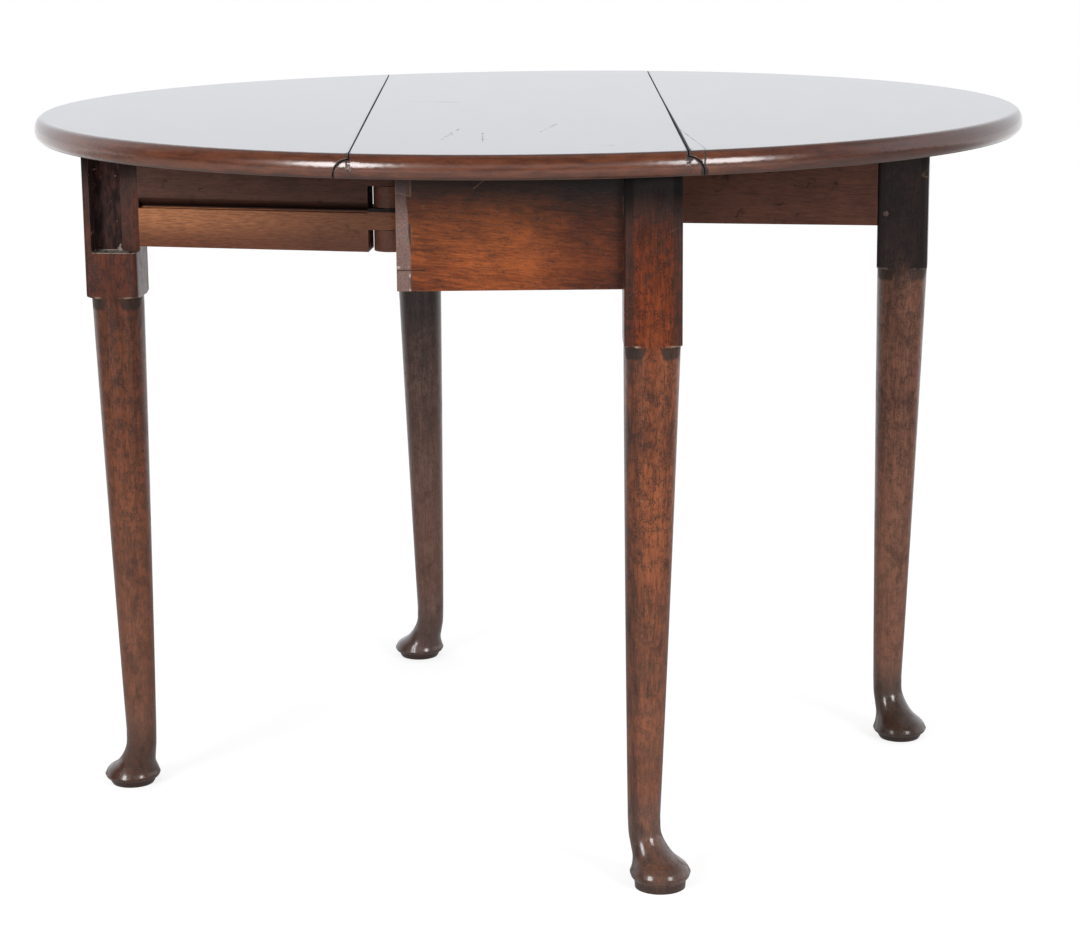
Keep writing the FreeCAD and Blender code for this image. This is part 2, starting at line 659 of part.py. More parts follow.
def dovetail_pins():
    """Pins at the front end of the left inner rail, seen as end grain between the frieze's tails."""
    height = UNDERSIDE - FRIEZE_BOTTOM
    pitch = (height - DOVETAILS * DOVETAIL_WIDTH) / (DOVETAILS + 1) + DOVETAIL_WIDTH
    space = box(
        (-RAIL_INNER, -INNER_RAIL_FACE),
        (-FRIEZE_FRONT, -FRIEZE_BACK),
        (FRIEZE_BOTTOM, UNDERSIDE),
    )
    tails = []
    for index in range(DOVETAILS):
        low = FRIEZE_BOTTOM + pitch * (index + 1) - DOVETAIL_WIDTH
        high = low + DOVETAIL_WIDTH
        corners = [(-INNER_RAIL_FACE, low + DOVETAIL_FLARE), (-INNER_RAIL_FACE, high - DOVETAIL_FLARE)]
        corners += [(-RAIL_INNER, high), (-RAIL_INNER, low)]
        loop = [V(x, -FRIEZE_FRONT, z) for x, z in corners + corners[:1]]
        tails.append(Part.Face(Part.makePolygon(loop)).extrude(V(0, FRIEZE_THICKNESS, 0)))
    return space.cut(tails)


def left_inner_rail():
    """Inner rail from the front frieze to the back left leg."""
    tall = (FRIEZE_BOTTOM, UNDERSIDE)
    bar = box((-RAIL_INNER, -INNER_RAIL_FACE), (-FRIEZE_BACK, LEG_BACK), tall)
    return without(bar.fuse(dovetail_pins()), rail_screw_holes())


def front_frieze():
    """End rail: dovetailed to the left inner rail and tenoned into the front right leg."""
    tall = (FRIEZE_BOTTOM, UNDERSIDE)
    bar = box((-RAIL_INNER, LEG_INNER), (-FRIEZE_FRONT, -FRIEZE_BACK), tall)
    body = bar.fuse(frieze_tenon()).removeSplitter()
    pockets = [pocket(tip.x) for tip in top_screw_tips()]
    return without(body, [dovetail_pins()] + pockets + top_screw_holes())


def rail_screw_tips():
    """Tips of the screws that hold the left fixed rail, driven outwards from inside the frame."""
    middle = (FRIEZE_BOTTOM + UNDERSIDE) / 2
    return [V(-RAIL_INNER - RAIL_SCREW_BITE, y, middle) for y in RAIL_SCREW_PLACES]


def rail_screw_blank(tip):
    """Screw through the inner rail before it is slotted, which is also the hole it fills."""
    return screw(tip, -ACROSS, SCREW_SHANK, SCREW_HEAD, SCREW_HEAD_HEIGHT, RAIL_SCREW_LENGTH)


def rail_screw_holes():
    """Holes of the left side's rail screws."""
    return [rail_screw_blank(tip) for tip in rail_screw_tips()]


def rail_screws():
    """Screws that hold both fixed rails."""
    tips = rail_screw_tips()
    left = [slotted(rail_screw_blank(tip), -ACROSS, SCREW_HEAD, RAIL_SCREW_LENGTH, tip) for tip in tips]
    return group(left + [turned(one) for one in left])


def glue_blocks():
    """Rubbed blocks in the angle of the inner rails and the board."""
    blocks = []
    for y in (-BLOCK_PLACE, BLOCK_PLACE):
        along = (y - BLOCK_LENGTH / 2, y + BLOCK_LENGTH / 2)
        across = (-INNER_RAIL_FACE, -INNER_RAIL_FACE + BLOCK_SIDE)
        blocks.append(box(across, along, (UNDERSIDE - BLOCK_SIDE, UNDERSIDE)))
    return group(blocks + [turned(block) for block in blocks])


def opened(shape, angle):
    """A shut left-hand gate piece swung open, clockwise from above, about its pin."""
    copy = shape.copy()
    copy.rotate(V(-PIN_X, -GATE_HINGE_Y, 0), UP, -angle)
    return copy


def pieces():
    """Every node of the table by name."""
    slab = top_slab()
    gate = {"gate_leg": left_gate_leg(), "gate_pegs": group(gate_pegs())}
    left_gate = dict(gate, gate_rail=left_gate_rail(LEFT_RAIL_RISE))
    right_gate = dict(gate, gate_rail=left_gate_rail(RIGHT_RAIL_RISE))
    frame = {
        "front_frieze": front_frieze(),
        "left_inner_rail": left_inner_rail(),
        "left_fixed_rail": left_fixed_rail(),
        "left_gate_pin": left_gate_pin(),
        "front_right_leg": front_right_leg(),
        "left_fixed_pegs": group(fixed_pegs()),
    }
    partners = {
        "front_frieze": "back_frieze",
        "left_inner_rail": "right_inner_rail",
        "left_fixed_rail": "right_fixed_rail",
        "left_gate_pin": "right_gate_pin",
        "front_right_leg": "back_left_leg",
        "left_fixed_pegs": "right_fixed_pegs",
    }
    board_tips = [tip for place in HINGE_PLACES for tip in board_screw_tips(place)]
    leaf_tips = [tip for place in HINGE_PLACES for tip in leaf_screw_tips(place)]
    flaps = {
        "board_flaps": [board_flap(place) for place in HINGE_PLACES],
        "leaf_flaps": [leaf_flap(place) for place in HINGE_PLACES],
        "hinge_pins": [hinge_knuckle(place, (0, 1), HINGE_PIN_DIAMETER) for place in HINGE_PLACES],
        "board_flap_screws": [flap_screw_done(tip) for tip in board_tips],
        "leaf_flap_screws": [flap_screw_done(tip) for tip in leaf_tips],
    }
    nodes = {"centre_board": centre_board(slab), "left_leaf": left_leaf(slab), "right_leaf": right_leaf(slab)}
    nodes.update(frame)
    nodes.update({partners[name]: turned(shape) for name, shape in frame.items()})
    for name, shape in left_gate.items():
        nodes["left_" + name] = opened(shape, LEFT_GATE_ANGLE)
    for name, shape in right_gate.items():
        nodes["right_" + name] = turned(opened(shape, RIGHT_GATE_ANGLE))
    nodes.update({"right_" + name: group(solids) for name, solids in flaps.items()})
    nodes.update({"left_" + name: group([mirrored(one) for one in solids]) for name, solids in flaps.items()})
    nodes.update({"top_screws": top_screws(), "rail_screws": rail_screws(), "glue_blocks": glue_blocks()})
    return nodes


def main():
    os.makedirs("parts", exist_ok=True)
    for name, shape in pieces().items():
        shape.translate(V(-TOP_MIDDLE, 0, 0))
        shape.exportStep("parts/" + name + ".step")
        print(name, len(shape.Solids), shape.isValid(), round(shape.Volume))


main()
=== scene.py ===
"""Drop-leaf swing-leg table in old polished mahogany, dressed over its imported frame.

Metres, +Z up, floor at z = 0. X runs across the leaves and Y along the rule joints; the camera looks
along +Y.
"""
import json
import math

import bmesh
import bpy
import numpy as np
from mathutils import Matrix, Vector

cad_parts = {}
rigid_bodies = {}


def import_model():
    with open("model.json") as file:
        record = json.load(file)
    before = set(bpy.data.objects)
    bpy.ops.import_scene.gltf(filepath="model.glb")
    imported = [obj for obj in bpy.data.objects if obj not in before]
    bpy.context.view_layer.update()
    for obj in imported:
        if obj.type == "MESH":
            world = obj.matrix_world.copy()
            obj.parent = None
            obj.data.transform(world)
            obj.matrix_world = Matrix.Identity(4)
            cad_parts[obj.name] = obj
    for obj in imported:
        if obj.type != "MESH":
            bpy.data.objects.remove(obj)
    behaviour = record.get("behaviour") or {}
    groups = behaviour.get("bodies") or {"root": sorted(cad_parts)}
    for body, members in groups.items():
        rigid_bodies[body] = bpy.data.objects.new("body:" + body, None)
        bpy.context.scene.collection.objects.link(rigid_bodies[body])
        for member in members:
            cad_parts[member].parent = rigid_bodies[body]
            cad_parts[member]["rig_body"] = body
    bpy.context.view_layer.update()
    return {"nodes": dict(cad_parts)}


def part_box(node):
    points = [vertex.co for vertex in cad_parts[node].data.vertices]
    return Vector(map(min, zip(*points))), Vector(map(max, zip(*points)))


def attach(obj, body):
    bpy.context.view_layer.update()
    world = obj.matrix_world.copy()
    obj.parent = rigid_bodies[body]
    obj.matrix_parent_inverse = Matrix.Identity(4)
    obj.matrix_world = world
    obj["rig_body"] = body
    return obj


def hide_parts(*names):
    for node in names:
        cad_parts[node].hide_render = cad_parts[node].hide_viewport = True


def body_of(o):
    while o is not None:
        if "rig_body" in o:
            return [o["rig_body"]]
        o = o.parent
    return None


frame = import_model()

# Legs
LEG_HALF = 0.027
LEG_ARRIS = 0.004
POMMEL_BOTTOM = 0.532
SHOULDER_RISE = 0.008
SHOULDER_POWER = 0.3
ROUND_TOP_RADIUS = 0.02695
ANKLE_HEIGHT = 0.065
ANKLE_RADIUS = 0.0158
ANKLE_SET_IN = 0.0075
SHAFT_BELLY = 0.0005
FOOT_FALL = (0.36, 0.54, 0.73, 0.88, 1.0)
FOOT_SWEEP = (0.06, 0.22, 0.50, 0.87, 1.0)
FOOT_TUCK = (0.0006, 0.0020, 0.0033, 0.0022, 0.0)
RIM_HEIGHT = 0.011
RIM_RADIUS = 0.0295
RIM_POWER = 0.31
FOOT_SET_OUT = 0.0075
TOE_REACH = RIM_RADIUS + FOOT_SET_OUT
PAD_HEIGHT = 0.0065
PAD_RADIUS = 0.025
PAD_FLOOR_RADIUS = 0.022
# The front foot stands on a thicker base
FRONT_RIM_HEIGHT = 0.0155
FRONT_PAD_HEIGHT = 0.0090
FRONT_PAD_FLOOR_RADIUS = 0.0245

# Grime and painted shade hanging under the pommel's corners, and the heights of the painted shade close under
# the top
GRIME_AND_SHADE_DROP = 0.014
SHADE_UNDER_TOP = (0.630, 0.680)

# Crack beside the right joint, from point to point, and old marks on the top, each from end to end
CRACK = ((0.143, -0.212), (0.159, -0.401), (0.157, -0.447))
MARKS = (
    ((-0.125, 0.066), (-0.062, 0.052)),
    ((-0.098, -0.262), (-0.060, -0.281)),
    ((-0.045, -0.256), (-0.044, -0.343)),
    ((-0.084, -0.314), (-0.067, -0.208)),
    ((0.008, -0.260), (0.027, -0.179)),
    ((0.066, -0.377), (0.076, -0.375)),
)

# Faces of the boards above this area, in square metres, are flat
BROAD_FACE = 0.01

# Middle of the play between a leaf's hollow and the board's round
JOINT_RADIUS = 0.0155

# Gates
LEFT_GATE_ANGLE = 96.0
RIGHT_GATE_ANGLE = 99.0
GATE_LEG_OFFSET = np.array([0.0085, -0.286])
LIP_SLOPE = 0.0172
NOTCH_WALL = 0.0075
NOTCH_CHEEK = -0.019
NOTCH_CLEAN = 0.009
CROWN_MIDDLE = (-0.010, -0.023)
PEG_RADIUS = 0.003
PEG_PROUD = 0.0004
PEG_SUNK = 0.004

# Front frieze: height of the saw line at its left end, and how far the bare strip reaches in
SAW_LINE = 0.6055
BARE_STRIP = 0.0135

# Which way the peg ends face, seen from above
OUTWARD = {
    "left_fixed_pegs": np.array([-1.0, 0.0]),
    "right_fixed_pegs": np.array([1.0, 0.0]),
    "left_gate_pegs": np.array([0.0, 1.0]),
    "right_gate_pegs": np.array([0.0, -1.0]),
}

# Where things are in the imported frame
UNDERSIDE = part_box("front_frieze")[1][2]
TOP_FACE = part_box("centre_board")[1][2]
FRIEZE_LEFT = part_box("front_frieze")[0][0]
FRIEZE_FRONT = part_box("front_frieze")[0][1]
RAIL_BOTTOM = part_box("left_gate_rail")[0][2]
GATE_LEG_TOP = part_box("left_gate_leg")[1][2]
LEFT_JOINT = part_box("left_leaf")[1][0]
RIGHT_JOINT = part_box("right_leaf")[0][0]

# Camera, fitted to the photograph
CAMERA_PLACE = (-0.0068, -2.9687, 1.0037)
CAMERA_YAW = 0.0052
CAMERA_PITCH = -0.2244
CAMERA_ROLL = -0.0086
CAMERA_LENS = 94.03

# Lamps: name, place and power of each soft box, their common size and what they face
SOFT_BOXES = (
    ("soft box left", (-2.05, -2.80, 1.45), 45.0),
    ("soft box right", (2.10, -2.75, 1.45), 40.0),
)
SOFT_BOX_SIZE = (1.2, 1.4)
SOFT_BOX_AIM = (0, 0, 0.6)


def middle(node):
    """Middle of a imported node's box, seen from above."""
    low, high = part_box(node)
    return np.array([(low[0] + high[0]) / 2, (low[1] + high[1]) / 2])


def colour(red, green, blue):
    """Linear colour from 0 to 255 screen values."""
    screen = np.array([red, green, blue]) / 255
    linear = np.where(screen <= 0.04045, screen / 12.92, ((screen + 0.055) / 1.055) ** 2.4)
    return (*linear.tolist(), 1.0)


class Socket:
    """Output of a shader node; arithmetic on it adds Math nodes."""

    def __init__(self, output):
        self.output = output

    def node(self, kind, settings=None, inputs=None, out=0):
        """New node: settings first, then its sockets' values or links by name or number; gives one output."""
        tree = self.output.id_data
        made = tree.nodes.new(kind)
        for name, value in (settings or {}).items():
            if name == "stops":
                set_stops(made.color_ramp, value)
            else:
                setattr(made, name, value)
        for key, value in (inputs or {}).items():
            if isinstance(value, Socket):
                tree.links.new(value.output, made.inputs[key])
            else:
                made.inputs[key].default_value = value
        return Socket(made.outputs[out])

    def maths(self, operation, *values):
        return self.node("ShaderNodeMath", {"operation": operation}, dict(enumerate(values)))

    def __add__(self, other):
        return self.maths("ADD", self, other)

    def __radd__(self, other):
        return self.maths("ADD", other, self)

    def __sub__(self, other):
        return self.maths("SUBTRACT", self, other)

    def __rsub__(self, other):
        return self.maths("SUBTRACT", other, self)

    def __mul__(self, other):
        return self.maths("MULTIPLY", self, other)

    def __rmul__(self, other):
        return self.maths("MULTIPLY", other, self)

    def __truediv__(self, other):
        return self.maths("DIVIDE", self, other)

    def __pow__(self, other):
        return self.maths("POWER", self, other)

    def least(self, other):
        return self.maths("MINIMUM", self, other)

    def greatest(self, other):
        return self.maths("MAXIMUM", self, other)

    def size(self):
        return self.maths("ABSOLUTE", self)

    def step(self, low, high):
        """Smooth step from 0 at low to 1 at high; low may be the greater, for a fall."""
        settings = {"interpolation_type": "SMOOTHSTEP"}
        if low <= high:
            return self.node("ShaderNodeMapRange", settings, {0: self, 1: low, 2: high, 3: 0.0, 4: 1.0})
        return self.node("ShaderNodeMapRange", settings, {0: self, 1: high, 2: low, 3: 1.0, 4: 0.0})

    def mix(self, first, second):
        """Colour between two, by this value."""
        settings = {"data_type": "RGBA", "blend_type": "MIX"}
        return self.node("ShaderNodeMix", settings, {0: self, 6: first, 7: second}, out=2)

    def tint(self, base, amount_colour):
        """Base colour multiplied by a colour, by this value."""
        settings = {"data_type": "RGBA", "blend_type": "MULTIPLY"}
        return self.node("ShaderNodeMix", settings, {0: self, 6: base, 7: amount_colour}, out=2)

    def vector(self, operation, other, out=0):
        return self.node("ShaderNodeVectorMath", {"operation": operation}, {0: self, 1: other}, out=out)

    def axes(self):
        """X, Y and Z of a vector."""
        first = self.node("ShaderNodeSeparateXYZ", None, {0: self})
        return [Socket(output) for output in first.output.node.outputs]

    def noise(self, scale, detail=3.0, roughness=0.55, distortion=0.0):
        inputs = {"Vector": self, "Scale": scale, "Detail": detail}
        inputs |= {"Roughness": roughness, "Distortion": distortion}
        return self.node("ShaderNodeTexNoise", None, inputs)


def set_stops(ramp, stops):
    """Colour ramp from (place, colour) pairs."""
    while len(ramp.elements) < len(stops):
        ramp.elements.new(0.5)
    for element, (place, tone) in zip(ramp.elements, stops):
        element.position = place
        element.color = tone


def new_finish(name):
    """Empty material with its surface shader and the piece's own coordinates."""
    finish = bpy.data.materials.new(name)
    finish.use_nodes = True
    shader = finish.node_tree.nodes["Principled BSDF"]
    coordinates = finish.node_tree.nodes.new("ShaderNodeTexCoord")
    return finish, shader, Socket(coordinates.outputs["Object"])


def feed(shader, name, value):
    """Link a varying value to the shader, or set a constant on its socket."""
    if isinstance(value, Socket):
        shader.id_data.links.new(value.output, shader.inputs[name])
    else:
        shader.inputs[name].default_value = value


def stretched(place, along, turn=0.0, share=0.055):
    """Coordinates with the grain's direction drawn out: turned about Z, then shrunk along one axis."""
    turned = place.node("ShaderNodeMapping", None, {"Vector": place, "Rotation": (0, 0, math.radians(turn))})
    scale = [1.0, 1.0, 1.0]
    scale["xyz".index(along)] = share
    return turned.vector("MULTIPLY", scale)


def wood(place, along, dark, light, turn=0.0, figure_scale=55.0, contrast=1.0, flecked=0.6, curl=0.0):
    """Colour, fibre and pores of a hardwood.

    Broad figure, streaks and fine fibre are noises stretched along the grain, and a slow blotch shifts the
    tone. Pores are the dark peaks of a fine noise, flecks those of a shorter, coarser one, and curls short
    crooked marks.
    """
    grain = stretched(place, along, turn)
    figure = grain.noise(figure_scale, 4.0, 0.6, 0.5)
    short = stretched(place, along, turn, 0.10)
    streak = short.noise(400.0, 4.0, 0.7, 0.3)
    fibre = short.noise(820.0, 3.0, 0.7)
    pores = grain.noise(1500.0, 2.0, 0.5).step(0.58, 0.70)
    flecks = stretched(place, along, turn, 0.22).noise(460.0, 4.0, 0.7, 0.7).step(0.54, 0.63)
    blotch = place.noise(11.0, 4.0, 0.62)
    tone = (figure - 0.5) * 0.8 + (streak - 0.5) * 1.7 + (fibre - 0.5) * 1.1 + (blotch - 0.5) * 1.6
    tone = (tone * contrast + 0.5).step(-0.1, 1.1)
    base = tone.mix(dark, light)
    base = (pores * 0.4).tint(base, colour(120, 96, 88))
    base = (flecks * flecked).mix(base, colour(40, 22, 17))
    if curl > 0:
        crooked = stretched(place, along, turn, 0.7).noise(250.0, 2.0, 0.6, 2.2)
        marks = (crooked - 0.5).size().step(0.085, 0.040) * place.noise(110.0, 3.0, 0.6).step(0.44, 0.56)
        base = (marks * curl).mix(base, colour(44, 31, 24))
    return base, fibre, (pores * 0.5).greatest(flecks)


def edge_mask(place, radius):
    """1 on worn edges: where the normal averaged over a radius leaves the true normal."""
    soft = place.node("ShaderNodeBevel", {"samples": 6}, {"Radius": radius})
    true = place.node("ShaderNodeNewGeometry", None, None, out=1)
    same = soft.vector("DOT_PRODUCT", true, out=1)
    return (1 - same).step(0.02, 0.22)


def bumped(place, height, distance, strength=0.6):
    """Normal from a height field."""
    return place.node("ShaderNodeBump", None, {"Height": height, "Distance": distance, "Strength": strength})


def fine_scratches(place):
    """Thin stray scratches: level lines of a slow slanted noise, kept where another noise is high."""
    turned = place.node("ShaderNodeMapping", None, {"Vector": place, "Rotation": (0, math.radians(-52), 0)})
    line = (turned.vector("MULTIPLY", (1, 1, 0.22)).noise(34.0, 1.0, 0.3) - 0.5).size().step(0.0055, 0.002)
    return line * place.noise(46.0, 2.0, 0.5).step(0.62, 0.68)


def near_line(place, start, end):
    """Distance, seen from above, to the straight line between two points."""
    run = (end[0] - start[0], end[1] - start[1], 0.0)
    length = run[0] ** 2 + run[1] ** 2
    flat = place.vector("MULTIPLY", (1.0, 1.0, 0.0))
    reach = flat.vector("SUBTRACT", (start[0], start[1], 0.0))
    share = reach.vector("DOT_PRODUCT", run, out=1) / length
    share = share.greatest(0.0).least(1.0)
    along = share.node("ShaderNodeVectorMath", {"operation": "SCALE"}, {0: run, "Scale": share})
    return reach.vector("SUBTRACT", along).vector("LENGTH", (0, 0, 0), out=1)


def joint_end(place, pins, side, gape):
    """Mask of the dark, chipped line of a rule joint on the top's two ends.

    It lies within a ragged distance of the joint's arc about the hinge pins, on the leaf's side of them,
    and gapes towards the underside.
    """
    low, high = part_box(pins)
    x, y, z = place.axes()
    across = (x - (low[0] + high[0]) / 2) * side
    up = z - (low[2] + high[2]) / 2
    arc = ((across * across + up * up) ** 0.5 - JOINT_RADIUS).size()
    ragged = (place.noise(260.0, 4.0, 0.7) - 0.5) * 0.004
    line = (arc + ragged - up.step(0.012, -0.001) * gape).step(0.0018, 0.0009)
    return line * across.step(0.0, 0.0005) * y.size().step(0.400, 0.412)


def top_finish():
    """Polished mahogany of the top: mirror-like face, worn edge, broken joint ends, marks and a crack."""
    finish, shader, place = new_finish("top_mahogany")
    x, y, z = place.axes()
    past_left = x.step(LEFT_JOINT, LEFT_JOINT + 0.001)
    past_right = x.step(RIGHT_JOINT - 0.001, RIGHT_JOINT)
    shift = place.node("ShaderNodeCombineXYZ", None, {1: past_left * 0.37 + past_right * 0.53})
    plank = place.vector("ADD", shift)
    base, fibre, pores = wood(plank, "y", colour(60, 28, 18), colour(116, 62, 39), 0.0, 42.0, 0.8, 0.4)
    base = (past_left - past_right).tint(base, colour(240, 230, 228))
    edge = edge_mask(place, 0.003)
    rub = place.noise(90.0, 4.0, 0.65)
    streaky = place.vector("MULTIPLY", (0.4, 0.4, 3.0)).noise(80.0, 5.0, 0.65, 0.4).step(0.30, 0.70)
    worn = edge * rub.step(0.42, 0.62)
    below = z.step(TOP_FACE - 0.0006, TOP_FACE - 0.002)
    face = 1 - below
    right_joint = (x - RIGHT_JOINT).size()
    left_joint = (x - LEFT_JOINT).size()
    joint = left_joint.least(right_joint)
    chipped = joint.step(0.0035, 0.001) * place.noise(260.0, 3.0, 0.6).step(0.52, 0.60)
    wander = (place.noise(55.0, 3.0, 0.6) - 0.5) * 0.012
    along_top = (near_line(place, CRACK[0], CRACK[1]) + wander * 0.25).size().step(0.0011, 0.0002)
    over_edge = (near_line(place, CRACK[1], CRACK[2]) + wander * 0.2).size().step(0.0012, 0.0003)
    crack = along_top.greatest(over_edge)
    scratch = near_line(place, *MARKS[0])
    for mark in MARKS[1:]:
        scratch = scratch.least(near_line(place, *mark))
    scratch = (scratch + wander * 0.5).size().step(0.0010, 0.0003)
    scratch = scratch * place.noise(95.0, 3.0, 0.7).step(0.42, 0.60) * 0.6
    ragged = (place.noise(230.0, 4.0, 0.7) - 0.5) * 0.022
    broken = (x - LEFT_JOINT + ragged).size().step(0.0016, 0.0006)
    broken = broken.greatest((x - RIGHT_JOINT + ragged).size().step(0.0022, 0.0010))
    broken = broken * y.step(-0.400, -0.412) * joint.step(0.009, 0.006)
    broken = broken * z.step(TOP_FACE - 0.013, TOP_FACE - 0.010)
    broken = broken.greatest(joint_end(place, "left_hinge_pins", -1.0, 0.0))
    broken = broken.greatest(joint_end(place, "right_hinge_pins", 1.0, 0.0022))
    right_gap = right_joint - y.step(0.15, -0.30) * 0.0012
    left_gap = left_joint - y.size().step(0.36, 0.10) * 0.0003
    gap = right_gap.least(left_gap).step(0.0009, 0.0003) * face
    grime = below * z.step(UNDERSIDE + 0.004, UNDERSIDE) * 0.7
    base = (below * 0.6).mix(base, streaky.mix(colour(84, 45, 29), colour(138, 78, 49)))
    base = (below * x.step(0.16, 0.30)).tint(base, colour(194, 171, 154))
    base = (worn * 0.4).mix(base, colour(150, 104, 78))
    base = grime.tint(base, colour(120, 100, 92))
    base = (chipped * 0.75).mix(base, colour(60, 38, 30))
    base = (scratch * 0.8).mix(base, colour(40, 26, 21))
    base = crack.greatest(broken * 0.9).greatest(gap).mix(base, colour(22, 15, 13))
    underneath = z.step(UNDERSIDE + 0.0012, UNDERSIDE + 0.0004)
    base = (underneath * 0.6).mix(base, streaky.mix(colour(84, 58, 43), colour(126, 90, 67)))
    rough = 0.13 + face * (place.noise(24.0, 3.0, 0.5) * 0.05)
    rough = rough + below * (rub * 0.03 + 0.06) + underneath * 0.55
    rough = rough + crack.greatest(gap).greatest(broken).greatest(scratch) * 0.5
    feed(shader, "Base Color", base)
    feed(shader, "Roughness", rough)
    edge_dull = below * (0.85 - x.size().step(0.39, 0.49) * 0.6)
    dull = (underneath * 0.95).greatest(edge_dull).greatest(broken.greatest(gap)).greatest(scratch)
    feed(shader, "Coat Weight", 1 - dull)
    feed(shader, "Coat Roughness", 0.06)
    feed(shader, "Coat IOR", 1.5)
    feed(shader, "Specular IOR Level", 1.0)
    height = face * (fibre * 0.15 - pores * 0.25) + below * rub * 0.02
    height = height - crack * 3.0 - scratch * 1.5 - chipped * 1.2 - broken * 3.0
    feed(shader, "Normal", bumped(place, height, 0.0004, 0.35))
    return finish


def leg_finish(name, dark, light, stain, crown, foot_tone, shade=(255, 255, 255), dark_side=None, arris=1.0):
    """Old polish on turned mahogany: upright grain, stains, grime on the pommel's arrises, raw cut notch.

    The pommel, the shaft's upper half and the foot each have a tint of their own; the pommel's is partly its
    own tone and partly painted shade from the top, the upper half's is painted shade. At the pommel's corners
    the tints part sharply, but on the middle of a face they run into each other. Grime and painted shade hang
    under the corners, close under the top the leg is painted dark with shade, and low down the shaft is
    painted lighter, as if lit from the floor. A dark side is stained left of that x.
    """
    finish, shader, place = new_finish(name)
    base, fibre, pores = wood(place, "z", dark, light, 0.0, 70.0, 0.9, stain * 0.65, stain * 0.9)
    x, _, z = place.axes()
    grime = place.node("ShaderNodeAttribute", {"attribute_name": "grime"}, None, out=2)
    raw = place.node("ShaderNodeAttribute", {"attribute_name": "raw"}, None, out=2).step(0.4, 0.6)
    corner = place.node("ShaderNodeAttribute", {"attribute_name": "corner"}, None, out=2)
    patches = place.vector("MULTIPLY", (1, 1, 0.45)).noise(52.0, 5.0, 0.65, 0.5)
    pommel = z.step(POMMEL_BOTTOM - 0.003, POMMEL_BOTTOM + 0.003)
    above = z - POMMEL_BOTTOM
    # Grime and painted shade hanging under the pommel's corners
    hang = above + corner.step(0.20, 0.55) * GRIME_AND_SHADE_DROP + (place.noise(150.0, 4.0, 0.7) - 0.5) * 0.008
    under = hang.step(0.0, 0.004) * corner.step(0.20, 0.32) * above.step(0.001, -0.001)
    dirt_and_shade = (grime * patches.step(0.10, 0.42) * arris).greatest(under)
    dirt_and_shade = dirt_and_shade.greatest(patches.step(0.55, 0.65) * 0.45)
    polished = z.step(0.11, 0.07)
    floor_dirt = z.step(0.0085, 0.0065) * patches.step(0.10, 0.50)
    rub = place.noise(140.0, 4.0, 0.65)
    worn = edge_mask(place, 0.0025) * rub.step(0.46, 0.62)
    scratched = fine_scratches(place)
    specks = place.noise(420.0, 3.0, 0.7)
    lip = raw * (z - RAIL_BOTTOM).size().step(0.0014, 0.0006) * rub.step(0.40, 0.50)
    # Painted light: the lower shaft lighter, as if lit from the floor
    base = (z.step(0.42, 0.12) * 0.3).mix(base, colour(158, 114, 95))
    # The pommel's tint: partly its own tone, partly painted shade from the top
    cornered = corner.step(0.25, 0.50)
    faded = z.step(POMMEL_BOTTOM - 0.05, POMMEL_BOTTOM + 0.03)
    base = (pommel * cornered + faded * (1 - cornered)).tint(base, crown)
    # Painted shade on the upper shaft, set for the back leg in the shadow behind the frieze
    base = z.step(0.35, 0.45).tint(base, colour(*shade))
    base = z.step(0.10, 0.035).tint(base, foot_tone)
    if dark_side is not None:
        run = stretched(place, "z", 0.0, 0.14).noise(120.0, 4.0, 0.65, 0.4)
        side = (x - dark_side + (run - 0.5) * 0.012).step(0.006, -0.006)
        base = (side * run.step(0.40, 0.66) * (1 - pommel) * 0.75).mix(base, colour(52, 40, 33))
        base = (side * 0.4).tint(base, colour(205, 192, 192))
    base = (dirt_and_shade * stain).mix(base, under.mix(colour(32, 22, 19), colour(38, 36, 32)))
    rim = (above - 0.0012).size().step(0.0018, 0.0008)
    rim = rim * corner.step(0.45, 0.65) * rub.step(0.38, 0.52)
    base = (rim * (stain * 4 - 2.5)).mix(base, colour(172, 150, 132))
    base = (floor_dirt * 0.6).mix(base, colour(44, 30, 26))
    base = (worn * 0.35).mix(base, colour(150, 100, 74))
    base = (scratched * 0.35).mix(base, colour(150, 116, 96))
    # Painted shade close under the top: the leg darkened there, and dulled
    shade_under_top = z.step(*SHADE_UNDER_TOP)
    base = shade_under_top.tint(base, colour(48, 50, 56))
    hewn = stretched(place, "z", 0.0, 0.3).noise(190.0, 4.0, 0.7)
    cut = hewn.step(0.35, 0.70).mix(colour(34, 21, 20), colour(84, 54, 48))
    cut = place.noise(130.0, 3.0, 0.6).step(0.64, 0.67).mix(cut, colour(176, 160, 148))
    base = raw.mix(base, cut)
    base = (lip * 0.8).mix(base, colour(188, 178, 168))
    feed(shader, "Base Color", base)
    rough = 0.30 + dirt_and_shade * 0.25 + shade_under_top * 0.5 + worn * 0.2
    rough = rough + (rub - 0.5) * 0.16 + raw * 0.45 - polished * 0.10
    feed(shader, "Roughness", rough)
    hidden = raw.greatest(dirt_and_shade * 0.8).greatest(shade_under_top * 0.9)
    feed(shader, "Coat Weight", (1 - hidden) * (0.25 + polished * 0.75 - pommel * 0.12))
    feed(shader, "Coat Roughness", 0.15)
    feed(shader, "Specular IOR Level", 0.35)
    height = fibre * 0.25 - pores * 0.3 + raw * specks * 1.5 - dirt_and_shade * 0.3 - scratched * 0.5
    feed(shader, "Normal", bumped(place, height, 0.0004, 0.45))
    return finish


